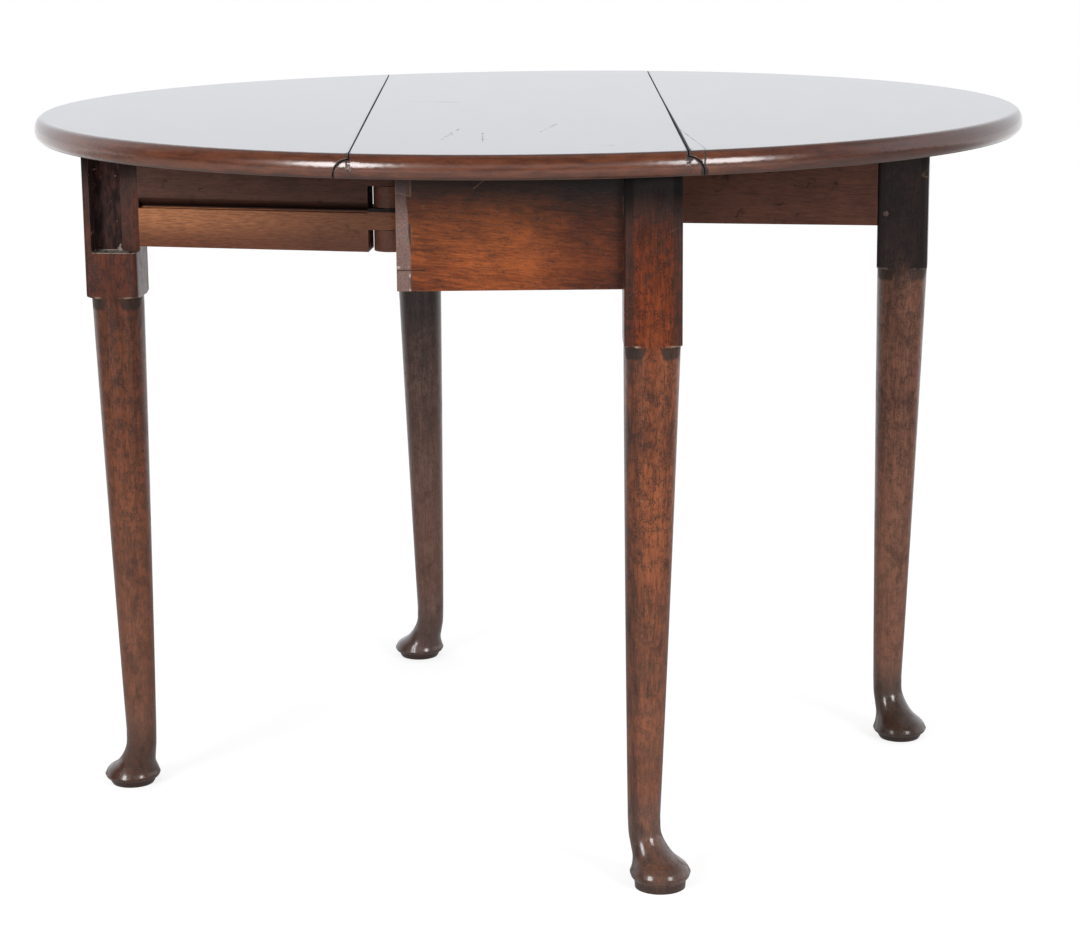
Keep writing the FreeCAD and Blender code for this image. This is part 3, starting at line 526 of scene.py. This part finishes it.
def worn_corner(place):
    """Mask of the bare, rubbed strip of end grain at the front frieze's left end, with a wandering edge."""
    x, y, z = place.axes()
    wander = place.vector("MULTIPLY", (0, 0, 1)).noise(24.0, 2.0, 0.5) - 0.5
    lean = z.step(0.60, 0.69) * 0.004
    reach = FRIEZE_LEFT + BARE_STRIP
    strip = (x - wander * 0.007 + lean).step(reach + 0.0007, reach - 0.0007)
    return strip * y.step(FRIEZE_FRONT + 0.002, FRIEZE_FRONT + 0.0005)


def strip_colour(place):
    """Greyish worn end grain with pale chips at its lower end, painted darker with shade close under the top.
    """
    z = place.axes()[2]
    specks = place.noise(520.0, 3.0, 0.7)
    tone = specks.step(0.3, 0.7).mix(colour(112, 84, 77), colour(142, 116, 108))
    chips = place.noise(150.0, 3.0, 0.6).step(0.63, 0.68) * z.step(0.625, 0.605)
    tone = (chips * 0.8).mix(tone, colour(206, 190, 178))
    # Painted shade close under the top
    return z.step(0.645, 0.685).tint(tone, colour(130, 125, 130))


def frieze_finish():
    """Warm mahogany of the end rails: level grain, rubbed corner and saw line left, painted shade towards the
    right end, by the leg and close under the top.
    """
    finish, shader, place = new_finish("frieze_mahogany")
    slanted = place.node("ShaderNodeMapping", None, {"Vector": place, "Rotation": (0, math.radians(-5), 0)})
    dark, light = colour(102, 48, 21), colour(180, 95, 45)
    base, fibre, pores = wood(slanted, "x", dark, light, 0.0, 75.0, 0.9, 0.45, 0.25)
    x, _, z = place.axes()
    patches = place.noise(26.0, 4.0, 0.6, 0.4)
    base = (patches.step(0.56, 0.74) * 0.2).mix(base, colour(58, 31, 21))
    # Painted shade: darker towards the right end, and more so beside the leg
    base = x.step(-0.02, 0.06).tint(base, colour(188, 178, 185))
    base = x.step(0.066, 0.096).tint(base, colour(158, 152, 152))
    # Painted shadow of the top's overhang, darkening the upper part
    base = (z + patches * 0.03).step(0.630, 0.700).tint(base, colour(78, 78, 82))
    base = z.step(0.640, 0.590).tint(base, colour(246, 240, 238))
    scratched = fine_scratches(place)
    base = (scratched * 0.22).mix(base, colour(170, 136, 112))
    corner = worn_corner(place)
    saw = (z - SAW_LINE).size().step(0.0007, 0.0003) * x.step(FRIEZE_LEFT + 0.028, FRIEZE_LEFT + 0.026)
    base = corner.mix(base, strip_colour(place))
    base = (saw * 0.8).mix(base, colour(48, 28, 22))
    worn = edge_mask(place, 0.0025) * place.noise(120.0, 4.0, 0.65).step(0.45, 0.62)
    base = (worn * 0.4).mix(base, colour(170, 122, 92))
    feed(shader, "Base Color", base)
    feed(shader, "Roughness", 0.42 + (fibre - 0.5) * 0.2 + corner * 0.3 + worn * 0.15)
    feed(shader, "Coat Weight", (1 - corner) * 0.1)
    feed(shader, "Coat Roughness", 0.25)
    feed(shader, "Specular IOR Level", 0.3)
    feed(shader, "Normal", bumped(place, fibre * 0.3 - pores * 0.35 - saw * 2.0, 0.0004, 0.5))
    return finish


def rail_finish(name, along, turn, lit_and_shaded):
    """Dull stained hardwood of the outer rails and gates, with dark spots; where it is grooved, the lower
    part painted lit and the upper part and groove painted with shade.
    """
    finish, shader, place = new_finish(name)
    base, fibre, pores = wood(place, along, colour(84, 52, 41), colour(130, 84, 66), turn, 85.0, 0.7, 0.15)
    x, _, z = place.axes()
    spots = place.noise(66.0, 4.0, 0.68, 0.6).step(0.57, 0.65) * place.noise(17.0, 2.0, 0.5).step(0.45, 0.55)
    smears = place.vector("MULTIPLY", (1, 1, 2.2)).noise(16.0, 4.0, 0.6).step(0.50, 0.72)
    base = (spots * 0.65).mix(base, colour(30, 21, 18))
    base = (smears * 0.35).tint(base, colour(150, 140, 135))
    worn = edge_mask(place, 0.003) * place.noise(130.0, 4.0, 0.65).step(0.44, 0.60)
    base = (worn * 0.45).mix(base, colour(150, 116, 94))
    if lit_and_shaded:
        # Painted light and shade: below the lip a lit tan, strongest to the left and darker near the bottom
        # edge; above it painted shade, deepest in the groove
        level = z + x * LIP_SLOPE
        lower = level.step(RAIL_BOTTOM + 0.0392, RAIL_BOTTOM + 0.0372)
        tan = fibre.step(0.3, 0.7).mix(colour(160, 100, 64), colour(216, 142, 94))
        tan = level.step(RAIL_BOTTOM + 0.030, RAIL_BOTTOM).tint(tan, colour(165, 146, 140))
        base = (1 - lower).tint(base, colour(222, 216, 216))
        base = (lower * (x.step(-0.16, -0.38) * 0.65 + 0.3)).mix(base, tan)
        groove = level.step(RAIL_BOTTOM + 0.052, RAIL_BOTTOM + 0.040) * (1 - lower)
        base = groove.tint(base, colour(80, 72, 78))
    feed(shader, "Base Color", base)
    feed(shader, "Roughness", 0.52 + (fibre - 0.5) * 0.2 + spots * 0.1)
    feed(shader, "Specular IOR Level", 0.3)
    feed(shader, "Normal", bumped(place, fibre * 0.35 - pores * 0.35, 0.0005, 0.5))
    return finish


def inside_finish():
    """Unpolished softwood inside the frame, saw-marked and grimy, end grain at the front corner."""
    finish, shader, place = new_finish("inner_softwood")
    base, fibre, _ = wood(place, "y", colour(96, 68, 44), colour(150, 114, 78), figure_scale=38.0)
    y = place.axes()[1]
    wave = y * 900.0 + place.noise(30.0, 2.0) * 4.0
    saws = wave.maths("SINE", wave)
    grime = place.noise(14.0, 4.0, 0.6).step(0.42, 0.72)
    base = (grime * 0.6).mix(base, colour(66, 48, 36))
    base = y.step(FRIEZE_FRONT + 0.003, FRIEZE_FRONT + 0.001).mix(base, colour(66, 38, 28))
    corner = worn_corner(place)
    base = corner.mix(base, strip_colour(place))
    worn = edge_mask(place, 0.002)
    base = (worn * 0.3).mix(base, colour(168, 138, 104))
    feed(shader, "Base Color", base)
    feed(shader, "Roughness", 0.74 + (fibre - 0.5) * 0.2)
    feed(shader, "Normal", bumped(place, fibre * 0.5 + saws * 0.12, 0.0005, 0.5))
    return finish


def peg_finish():
    """End grain of the pegs: dark and pale specks, a little duller than the leg."""
    finish, shader, place = new_finish("peg_hardwood")
    rings = place.noise(900.0, 3.0, 0.6)
    base = rings.step(0.3, 0.7).mix(colour(58, 42, 37), colour(124, 98, 86))
    feed(shader, "Base Color", base)
    feed(shader, "Roughness", 0.45 + rings * 0.2)
    feed(shader, "Normal", bumped(place, rings, 0.0003, 0.4))
    return finish


def iron_finish(name, bright):
    """Old wrought iron: brown-black scale, rust blooms, rubbed metal on the edges."""
    finish, shader, place = new_finish(name)
    scale_spots = place.noise(180.0, 5.0, 0.65)
    rust = place.noise(60.0, 4.0, 0.6, 0.5).step(0.48, 0.66)
    base = scale_spots.step(0.3, 0.7).mix(colour(40, 36, 34), colour(74, 66, 60))
    base = (rust * 0.75).mix(base, colour(92, 54, 34))
    rubbed = edge_mask(place, 0.0008) * bright
    base = rubbed.mix(base, colour(146, 138, 128))
    feed(shader, "Base Color", base)
    feed(shader, "Metallic", 0.85 - rust * 0.6)
    feed(shader, "Roughness", 0.48 + rust * 0.3 - rubbed * 0.15)
    feed(shader, "Normal", bumped(place, scale_spots, 0.0003, 0.5))
    return finish


def smooth_through(at, knots, values):
    """Cubic curve through knots: between two of them a Hermite blend whose slopes are central differences."""
    knots = np.asarray(knots, float)
    values = np.asarray(values, float)
    slopes = np.gradient(values, knots)
    index = np.clip(np.searchsorted(knots, at) - 1, 0, len(knots) - 2)
    span = knots[index + 1] - knots[index]
    t = np.clip((at - knots[index]) / span, 0, 1)
    first = (1 + 2 * t) * (1 - t) ** 2 * values[index] + t * (1 - t) ** 2 * span * slopes[index]
    second = t ** 2 * (3 - 2 * t) * values[index + 1] - t ** 2 * (1 - t) * span * slopes[index + 1]
    return first + second


def shaft(height):
    """Radius and set-out of the shaft: a straight taper with a slight parabolic belly, leaning inwards."""
    start = POMMEL_BOTTOM + SHOULDER_RISE
    share = np.clip((start - height) / (start - ANKLE_HEIGHT), 0, 1)
    radius = ROUND_TOP_RADIUS + (ANKLE_RADIUS - ROUND_TOP_RADIUS) * share
    return radius + 4 * SHAFT_BELLY * share * (1 - share), -ANKLE_SET_IN * share


def foot(height, rim):
    """Radius and set-out of the foot above its rim: smooth edges, the front one sweeping to the toe."""
    fall = np.array((0.0,) + FOOT_FALL)
    front_share = np.array((0.0,) + FOOT_SWEEP)
    tuck = np.array((0.0,) + FOOT_TUCK)
    front_ends = (ANKLE_RADIUS - ANKLE_SET_IN, TOE_REACH)
    back_ends = (-ANKLE_RADIUS - ANKLE_SET_IN, FOOT_SET_OUT - RIM_RADIUS)
    front = front_ends[0] + (front_ends[1] - front_ends[0]) * front_share
    back = back_ends[0] + (back_ends[1] - back_ends[0]) * fall + tuck
    down = (ANKLE_HEIGHT - height) / (ANKLE_HEIGHT - rim)
    front_edge = smooth_through(down, fall, front)
    back_edge = smooth_through(down, fall, back)
    return (front_edge - back_edge) / 2, (front_edge + back_edge) / 2


def pad(height, rim, ring, floor_radius):
    """Radius and set-out below the rim: a rounded undercut to a smaller ring, rounded in to the floor."""
    rise = np.clip((height - ring) / (rim - ring), 0, 1)
    radius = PAD_RADIUS + (RIM_RADIUS - PAD_RADIUS) * rise ** RIM_POWER
    radius = radius - (PAD_RADIUS - floor_radius) * np.clip(1 - height / ring, 0, 1) ** 1.5
    return radius, np.full_like(height, FOOT_SET_OUT)


def square_radius(angle):
    """Distance from the axis to the leg's square: the flat face, or the arc of its rounded arris."""
    turn = np.abs((angle + math.pi / 4) % (math.pi / 2) - math.pi / 4)
    flat = LEG_HALF / np.cos(turn)
    centre = LEG_HALF - LEG_ARRIS
    ahead = centre * (np.cos(turn) + np.sin(turn))
    aside = 2 * centre ** 2 - ahead ** 2
    arc = ahead + np.sqrt(np.maximum(LEG_ARRIS ** 2 - aside, 0))
    return np.where(LEG_HALF * np.tan(turn) > centre, arc, flat)


def leg_angles():
    """Angles round the leg, closer together at the four arrises."""
    quarter = np.concatenate([np.linspace(0, 36, 13), np.linspace(38.5, 51.5, 14), np.linspace(54, 87, 12)])
    return np.radians(np.concatenate([quarter + 90 * side for side in range(4)]))


def notched(points):
    """Outline of a gate leg's square above its notch, from the whole square's points.

    Points in the cut corner are dealt out along the cheek's inner face and then the wall's, in their
    own order.
    """
    x, y = points[:, 0], points[:, 1]
    cut = np.flatnonzero((x > NOTCH_WALL) & (y > NOTCH_CHEEK))
    order = cut[np.argsort(np.arctan2(y[cut], x[cut]))]
    cheek_length = LEG_HALF - NOTCH_WALL
    wall_length = LEG_HALF - NOTCH_CHEEK
    on_cheek = round(len(order) * cheek_length / (cheek_length + wall_length))
    step = np.arange(len(order))
    share = np.where(step <= on_cheek, step / on_cheek, (step - on_cheek) / (len(order) - 1 - on_cheek))
    out = points.copy()
    out[order, 0] = np.where(step <= on_cheek, LEG_HALF - cheek_length * share, NOTCH_WALL)
    out[order, 1] = np.where(step <= on_cheek, NOTCH_CHEEK, NOTCH_CHEEK + wall_length * share)
    raw = np.zeros(len(points))
    raw[order] = out[order, 1] < NOTCH_CLEAN
    return out, raw


def leg_surface(top, signs, with_notch, rim, ring, floor_radius):
    """Rings of a leg from its crown to the floor, and how grimy, how raw and how near a corner each point is.

    A pommel ring takes the square's radius, held in by the turned shoulder and never inside the shaft; below
    it every ring is a circle, set out along the diagonal given by the signs of x and y. Grime lies along the
    pommel's arrises.
    """
    angle = leg_angles()
    circle = np.stack([np.cos(angle), np.sin(angle)], axis=1)
    shoulder_top = POMMEL_BOTTOM + SHOULDER_RISE
    straight = np.linspace(top, shoulder_top, 16)
    pommel = np.concatenate([straight, np.linspace(shoulder_top, POMMEL_BOTTOM, 18)[1:]])
    rise = np.clip((pommel - POMMEL_BOTTOM) / SHOULDER_RISE, 0, 1)
    inner = ROUND_TOP_RADIUS - 0.001
    corner = LEG_HALF * math.sqrt(2) + 0.001
    turned = inner + (corner - inner) * rise ** SHOULDER_POWER
    radius = np.minimum(square_radius(angle)[None, :], turned[:, None])
    radius = np.maximum(radius, shaft(pommel)[0][:, None])
    square = radius[:, :, None] * circle[None, :, :]
    raw = np.zeros(radius.shape)
    if with_notch:
        outline, cut = notched(square[0])
        above = pommel > RAIL_BOTTOM
        ledge = [RAIL_BOTTOM, RAIL_BOTTOM, RAIL_BOTTOM - 0.001]
        levels = np.concatenate([pommel[above], ledge, pommel[~above]])
        count = int(above.sum()) + 1
        cut_rings = np.repeat(outline[None], count, axis=0)
        square = np.concatenate([cut_rings, square[:1], square[:1], square[~above]])
        raw = np.concatenate([np.repeat(cut[None], count + 1, axis=0), raw[:1], raw[~above]])
        pommel = levels
    round_heights = [
        np.linspace(POMMEL_BOTTOM, ANKLE_HEIGHT, 60)[1:],
        np.linspace(ANKLE_HEIGHT, rim, 40)[1:],
        np.concatenate([np.linspace(rim, ring, 14)[1:], np.linspace(ring, 0, 8)[1:]]),
    ]
    base = pad(round_heights[2], rim, ring, floor_radius)
    sections = [shaft(round_heights[0]), foot(round_heights[1], rim), base]
    rounds = []
    for ring_radius, out in sections:
        shift = out[:, None, None] * np.array(signs)[None, None, :]
        rounds.append(ring_radius[:, None, None] * circle[None] + shift)
    flat = np.concatenate([square] + rounds)
    heights = np.concatenate([pommel] + round_heights)
    rings = np.concatenate([flat, np.repeat(heights[:, None, None], len(angle), axis=1)], axis=2)
    near_corner = np.abs((angle + math.pi / 4) % (math.pi / 2) - math.pi / 4) / (math.pi / 4)
    on_square = heights > POMMEL_BOTTOM + 0.001
    arris = on_square[:, None] * np.clip((near_corner[None, :] - 0.72) / 0.06, 0, 1)
    raw = np.concatenate([raw, np.zeros((len(heights) - len(raw), len(angle)))])
    corner = np.repeat(near_corner[None, :], len(heights), axis=0)
    return rings, {"grime": arris, "raw": raw, "corner": corner}


def closed_skin(rings, top_middle, bottom_middle):
    """Vertices and faces of stacked rings, closed by a fan at each end."""
    rows, columns = rings.shape[:2]
    vertices = np.concatenate([rings.reshape(-1, 3), [top_middle], [bottom_middle]])
    index = np.arange(rows * columns).reshape(rows, columns)
    after = np.roll(index, -1, axis=1)
    quads = np.stack([index[:-1], index[1:], after[1:], after[:-1]], axis=2).reshape(-1, 4)
    upper = np.stack([np.full(columns, rows * columns), index[0], after[0]], axis=1)
    lower = np.stack([np.full(columns, rows * columns + 1), after[-1], index[-1]], axis=1)
    return vertices, quads.tolist() + upper.tolist() + lower.tolist()


def placed(points, turn, place):
    """Points turned about Z by degrees and then moved to a place seen from above."""
    angle = math.radians(turn)
    matrix = np.array([[math.cos(angle), -math.sin(angle)], [math.sin(angle), math.cos(angle)]])
    flat = points[..., :2] @ matrix.T + place
    return np.concatenate([flat, points[..., 2:]], axis=-1)


def new_piece(name, vertices, faces, finish, sharp=30.0):
    """Mesh object at the origin with smooth faces and sharp edges past an angle."""
    mesh = bpy.data.meshes.new(name)
    mesh.from_pydata(vertices.tolist(), [], faces)
    mesh.polygons.foreach_set("use_smooth", np.ones(len(mesh.polygons), bool))
    mesh.set_sharp_from_angle(angle=math.radians(sharp))
    mesh.materials.append(finish)
    piece = bpy.data.objects.new(name, mesh)
    bpy.context.collection.objects.link(piece)
    return piece


def stands_for(piece, node):
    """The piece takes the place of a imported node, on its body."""
    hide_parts(node)
    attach(piece, body_of(frame["nodes"][node])[0])
    return piece


def leg(node, turn, place, finish, signs, with_notch, base=(RIM_HEIGHT, PAD_HEIGHT, PAD_FLOOR_RADIUS)):
    """One leg, worked out upright about its own axis and then put in its place."""
    top = GATE_LEG_TOP if with_notch else UNDERSIDE
    rings, layers = leg_surface(top, signs, with_notch, *base)
    crown = CROWN_MIDDLE if with_notch else (0.0, 0.0)
    sole = (signs[0] * FOOT_SET_OUT, signs[1] * FOOT_SET_OUT)
    vertices, faces = closed_skin(rings, (*crown, top), (*sole, 0.0))
    piece = new_piece(node + "_turned", placed(vertices, turn, place), faces, finish, 35.0)
    for name, values in layers.items():
        layer = piece.data.attributes.new(name, "FLOAT", "POINT")
        layer.data.foreach_set("value", np.concatenate([values.ravel(), [0, 0]]).astype(np.float32))
    return stands_for(piece, node)


def pegs(node, finish):
    """Domed peg ends a hair proud of the leg, at both places of a packed pair.

    Each is a low dome over a disc, turned about the peg's own axis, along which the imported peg's
    points spread most.
    """
    source = frame["nodes"][node].data
    points = np.empty(len(source.vertices) * 3)
    source.vertices.foreach_get("co", points)
    points = points.reshape(-1, 3)
    split = (points[:, 2].min() + points[:, 2].max()) / 2
    spin = np.linspace(0, 2 * math.pi, 24, endpoint=False)
    vertices, faces = [], []
    for solid in (points[points[:, 2] < split], points[points[:, 2] >= split]):
        centre = solid.mean(axis=0)
        spread = solid - centre
        axis = np.linalg.svd(spread, full_matrices=False)[2][0]
        axis = axis if OUTWARD[node] @ axis[:2] > 0 else -axis
        reach = (spread @ axis).max()
        side = np.cross(axis, (0, 0, 1))
        lift = np.cross(side, axis)
        radius = PEG_RADIUS * np.array([1, 1, 0.97, 0.8, 0.45])
        height = reach + np.array([-PEG_SUNK, 0, PEG_PROUD * 0.3, PEG_PROUD * 0.7, PEG_PROUD])
        round_part = np.cos(spin)[:, None] * side + np.sin(spin)[:, None] * lift
        rings = centre + height[:, None, None] * axis + radius[:, None, None] * round_part[None]
        ends = (centre + (reach + PEG_PROUD) * axis, centre + (reach - PEG_SUNK) * axis)
        some, ring_faces = closed_skin(rings[::-1], ends[0], ends[1])
        start = sum(len(block) for block in vertices)
        faces += [[corner + start for corner in face] for face in ring_faces]
        vertices.append(some)
    piece = new_piece(node + "_domed", np.concatenate(vertices), faces, finish, 40.0)
    return stands_for(piece, node)


def eased_copy(node, finish, width):
    """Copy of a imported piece: points merged, flat faces joined and sharp edges eased by a width."""
    mesh = frame["nodes"][node].data.copy()
    mesh.name = node + "_eased"
    work = bmesh.new()
    work.from_mesh(mesh)
    bmesh.ops.remove_doubles(work, verts=work.verts, dist=2e-6)
    bmesh.ops.dissolve_limit(work, angle_limit=math.radians(0.05), verts=work.verts, edges=work.edges)
    work.to_mesh(mesh)
    work.free()
    mesh.polygons.foreach_set("use_smooth", np.ones(len(mesh.polygons), bool))
    mesh.set_sharp_from_angle(angle=math.radians(32))
    mesh.materials.clear()
    mesh.materials.append(finish)
    piece = bpy.data.objects.new(node + "_eased", mesh)
    bpy.context.collection.objects.link(piece)
    bevel = piece.modifiers.new("eased", "BEVEL")
    bevel.width = width
    bevel.segments = 2
    bevel.limit_method = "ANGLE"
    bevel.angle_limit = math.radians(32)
    bevel.harden_normals = True
    return stands_for(piece, node)


def paint(node, finish):
    """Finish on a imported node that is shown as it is."""
    shown = frame["nodes"][node]
    for material_slot in shown.material_slots:
        material_slot.material = finish
    if not shown.material_slots:
        shown.data.materials.append(finish)


def dress_top():
    """The three boards; the corners of their flat faces keep those faces' normals and so mirror true."""
    finish = top_finish()
    for node in ("centre_board", "left_leaf", "right_leaf"):
        board = eased_copy(node, finish, 0.0008)
        flat_faces = [face for face in board.data.polygons if face.area > BROAD_FACE]
        corners = [corner for face in flat_faces for corner in face.vertices]
        board.vertex_groups.new(name="flat").add(corners, 1.0, "REPLACE")
        flat_first = board.modifiers.new("flat face first", "WEIGHTED_NORMAL")
        flat_first.weight = 100
        flat_first.keep_sharp = True
        flat_first.vertex_group = "flat"


def dress_legs():
    """Two fixed legs and two gate legs, each in a tone of its own; the front foot has the thicker base."""
    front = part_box("front_right_leg")
    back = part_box("back_left_leg")
    front_place = np.array([front[1][0] - TOE_REACH, front[0][1] + TOE_REACH])
    back_place = np.array([back[0][0] + TOE_REACH, back[1][1] - TOE_REACH])
    warm = leg_finish("front_leg_mahogany", colour(84, 42, 25), colour(170, 94, 55), 0.8,
                      colour(226, 190, 150), colour(208, 233, 255), dark_side=front_place[0] - 0.013,
                      arris=0.75)
    left = leg_finish("left_leg_mahogany", colour(80, 38, 21), colour(142, 79, 48), 0.75,
                      colour(215, 190, 180), colour(171, 176, 177), arris=0.35)
    right = leg_finish("right_leg_mahogany", colour(88, 50, 37), colour(154, 100, 76), 0.7,
                       colour(110, 122, 142), colour(158, 179, 188))
    dark = leg_finish("back_leg_mahogany", colour(76, 53, 47), colour(130, 97, 86), 0.6,
                      colour(200, 200, 200), colour(207, 213, 222), shade=(158, 160, 168))
    thick_base = (FRONT_RIM_HEIGHT, FRONT_PAD_HEIGHT, FRONT_PAD_FLOOR_RADIUS)
    leg("front_right_leg", 0.0, front_place, warm, (1, -1), False, thick_base)
    leg("back_left_leg", 0.0, back_place, dark, (-1, 1), False)
    for side, turn, finish in (("left", -LEFT_GATE_ANGLE, left), ("right", 180 - RIGHT_GATE_ANGLE, right)):
        offset = placed(np.array([[*GATE_LEG_OFFSET, 0.0]]), turn, 0.0)[0, :2]
        leg(side + "_gate_leg", turn, middle(side + "_gate_pin") + offset, finish, (-1, -1), True)


def dress_frame():
    """Friezes, rails and glue blocks."""
    frieze = frieze_finish()
    inside = inside_finish()
    fixed = rail_finish("rail_hardwood", "y", 0.0, False)
    left_gate = rail_finish("left_gate_hardwood", "x", LEFT_GATE_ANGLE - 90, True)
    right_gate = rail_finish("right_gate_hardwood", "x", RIGHT_GATE_ANGLE - 90, False)
    for node in ("front_frieze", "back_frieze"):
        eased_copy(node, frieze, 0.0008)
    for node in ("left_fixed_rail", "right_fixed_rail"):
        eased_copy(node, fixed, 0.001)
    eased_copy("left_gate_rail", left_gate, 0.0012)
    eased_copy("right_gate_rail", right_gate, 0.0012)
    for node in ("left_inner_rail", "right_inner_rail", "glue_blocks"):
        eased_copy(node, inside, 0.0008)


def dress_fixings():
    """Pegs, hinges, pins and screws."""
    peg = peg_finish()
    hinge_iron = iron_finish("hinge_iron", 0.7)
    screw_iron = iron_finish("screw_iron", 0.9)
    for node in OUTWARD:
        pegs(node, peg)
    for side in ("left", "right"):
        for part in ("board_flaps", "leaf_flaps", "hinge_pins", "gate_pin"):
            paint(f"{side}_{part}", hinge_iron)
        for part in ("board_flap_screws", "leaf_flap_screws"):
            paint(f"{side}_{part}", screw_iron)
    for node in ("top_screws", "rail_screws"):
        paint(node, screw_iron)


def add_floor():
    """Plain white floor that still takes the table's shadow: part of what the camera sees is its own light.

    Reflections see it white behind the table only, as the lit end of a studio sweep.
    """
    half = 24.0
    corners = np.array([[-half, -half, 0], [half, -half, 0], [half, half, 0], [-half, half, 0]])
    finish = bpy.data.materials.new("floor_white")
    finish.use_nodes = True
    tree = finish.node_tree
    shader = tree.nodes["Principled BSDF"]
    shader.inputs["Roughness"].default_value = 0.9
    rays = tree.nodes.new("ShaderNodeLightPath")
    path = Socket(rays.outputs["Is Camera Ray"])
    behind = Socket(tree.nodes.new("ShaderNodeTexCoord").outputs["Object"]).axes()[1].step(0.2, 1.6)
    swept = (Socket(rays.outputs["Is Glossy Ray"]) * behind).mix((0, 0, 0, 1), (0.7, 0.7, 0.71, 1))
    feed(shader, "Emission Color", path.mix(swept, (0.76, 0.76, 0.76, 1)))
    shader.inputs["Emission Strength"].default_value = 1.0
    feed(shader, "Base Color", path.mix((0.6, 0.6, 0.6, 1), (0.5, 0.5, 0.5, 1)))
    floor = new_piece("floor", corners, [[0, 1, 2, 3]], finish)


def add_world():
    """Soft light from above and all round, white to the camera.

    Reflections see it pale behind the table, dim in front and overhead, with a low grey panel in front.
    """
    world = bpy.data.worlds.new("studio")
    bpy.context.scene.world = world
    world.use_nodes = True
    tree = world.node_tree
    path = tree.nodes.new("ShaderNodeLightPath")
    camera = Socket(path.outputs["Is Camera Ray"])
    glossy = Socket(path.outputs["Is Glossy Ray"]).greatest(Socket(path.outputs["Is Transmission Ray"]))
    direction = Socket(tree.nodes.new("ShaderNodeTexCoord").outputs["Generated"])
    x, y, z = direction.axes()
    open_side = (y + x * 0.25).step(-0.35, 0.25)
    seen = open_side.mix((0.10, 0.10, 0.105, 1), (0.86, 0.88, 0.915, 1))
    seen = (z.step(0.45, 0.85) * 0.75).mix(seen, (0.10, 0.10, 0.105, 1))
    panel = y.step(-0.3, -0.7) * (z - 0.22).size().step(0.22, 0.10)
    seen = panel.mix(seen, (0.6, 0.6, 0.6, 1))
    soft = z.step(-0.1, 0.8).mix((0.17, 0.17, 0.174, 1), (0.50, 0.50, 0.504, 1))
    shown = glossy.mix(soft, seen)
    shown = camera.mix(shown, (1, 1, 1, 1))
    background = tree.nodes["Background"]
    tree.links.new(shown.output, background.inputs["Color"])
    background.inputs["Strength"].default_value = 1.0


def add_light(name, place, power):
    """Oval soft box at a place, facing the middle of the table."""
    data = bpy.data.lights.new(name, "AREA")
    data.shape = "ELLIPSE"
    data.size, data.size_y = SOFT_BOX_SIZE
    data.energy = power
    lamp = bpy.data.objects.new(name, data)
    bpy.context.collection.objects.link(lamp)
    look_along(lamp, place, np.array(SOFT_BOX_AIM) - np.array(place))


def look_along(thing, place, forward, roll=0.0):
    """Put a camera or lamp at a place, its -Z along a direction and its X level but for a roll."""
    ahead = np.array(forward) / np.linalg.norm(forward)
    level = np.cross(ahead, (0, 0, 1))
    level = level / np.linalg.norm(level)
    upright = np.cross(level, ahead)
    side = math.cos(roll) * level + math.sin(roll) * upright
    top = -math.sin(roll) * level + math.cos(roll) * upright
    matrix = np.eye(4)
    matrix[:3] = np.column_stack([side, top, -ahead, place])
    thing.matrix_world = matrix.T.tolist()


def add_camera():
    """Camera at its fitted place, turned by yaw, pitch and roll."""
    data = bpy.data.cameras.new("camera")
    data.sensor_width = 36.0
    data.lens = CAMERA_LENS
    data.clip_end = 100.0
    camera = bpy.data.objects.new("camera", data)
    bpy.context.collection.objects.link(camera)
    level = math.cos(CAMERA_PITCH)
    forward = (math.sin(CAMERA_YAW) * level, math.cos(CAMERA_YAW) * level, math.sin(CAMERA_PITCH))
    look_along(camera, CAMERA_PLACE, forward, CAMERA_ROLL)
    bpy.context.scene.camera = camera


dress_top()
dress_legs()
dress_frame()
dress_fixings()
add_floor()
add_world()
for lamp_name, lamp_place, lamp_power in SOFT_BOXES:
    add_light(lamp_name, lamp_place, lamp_power)
add_camera()
bpy.context.scene.view_settings.view_transform = "Standard"
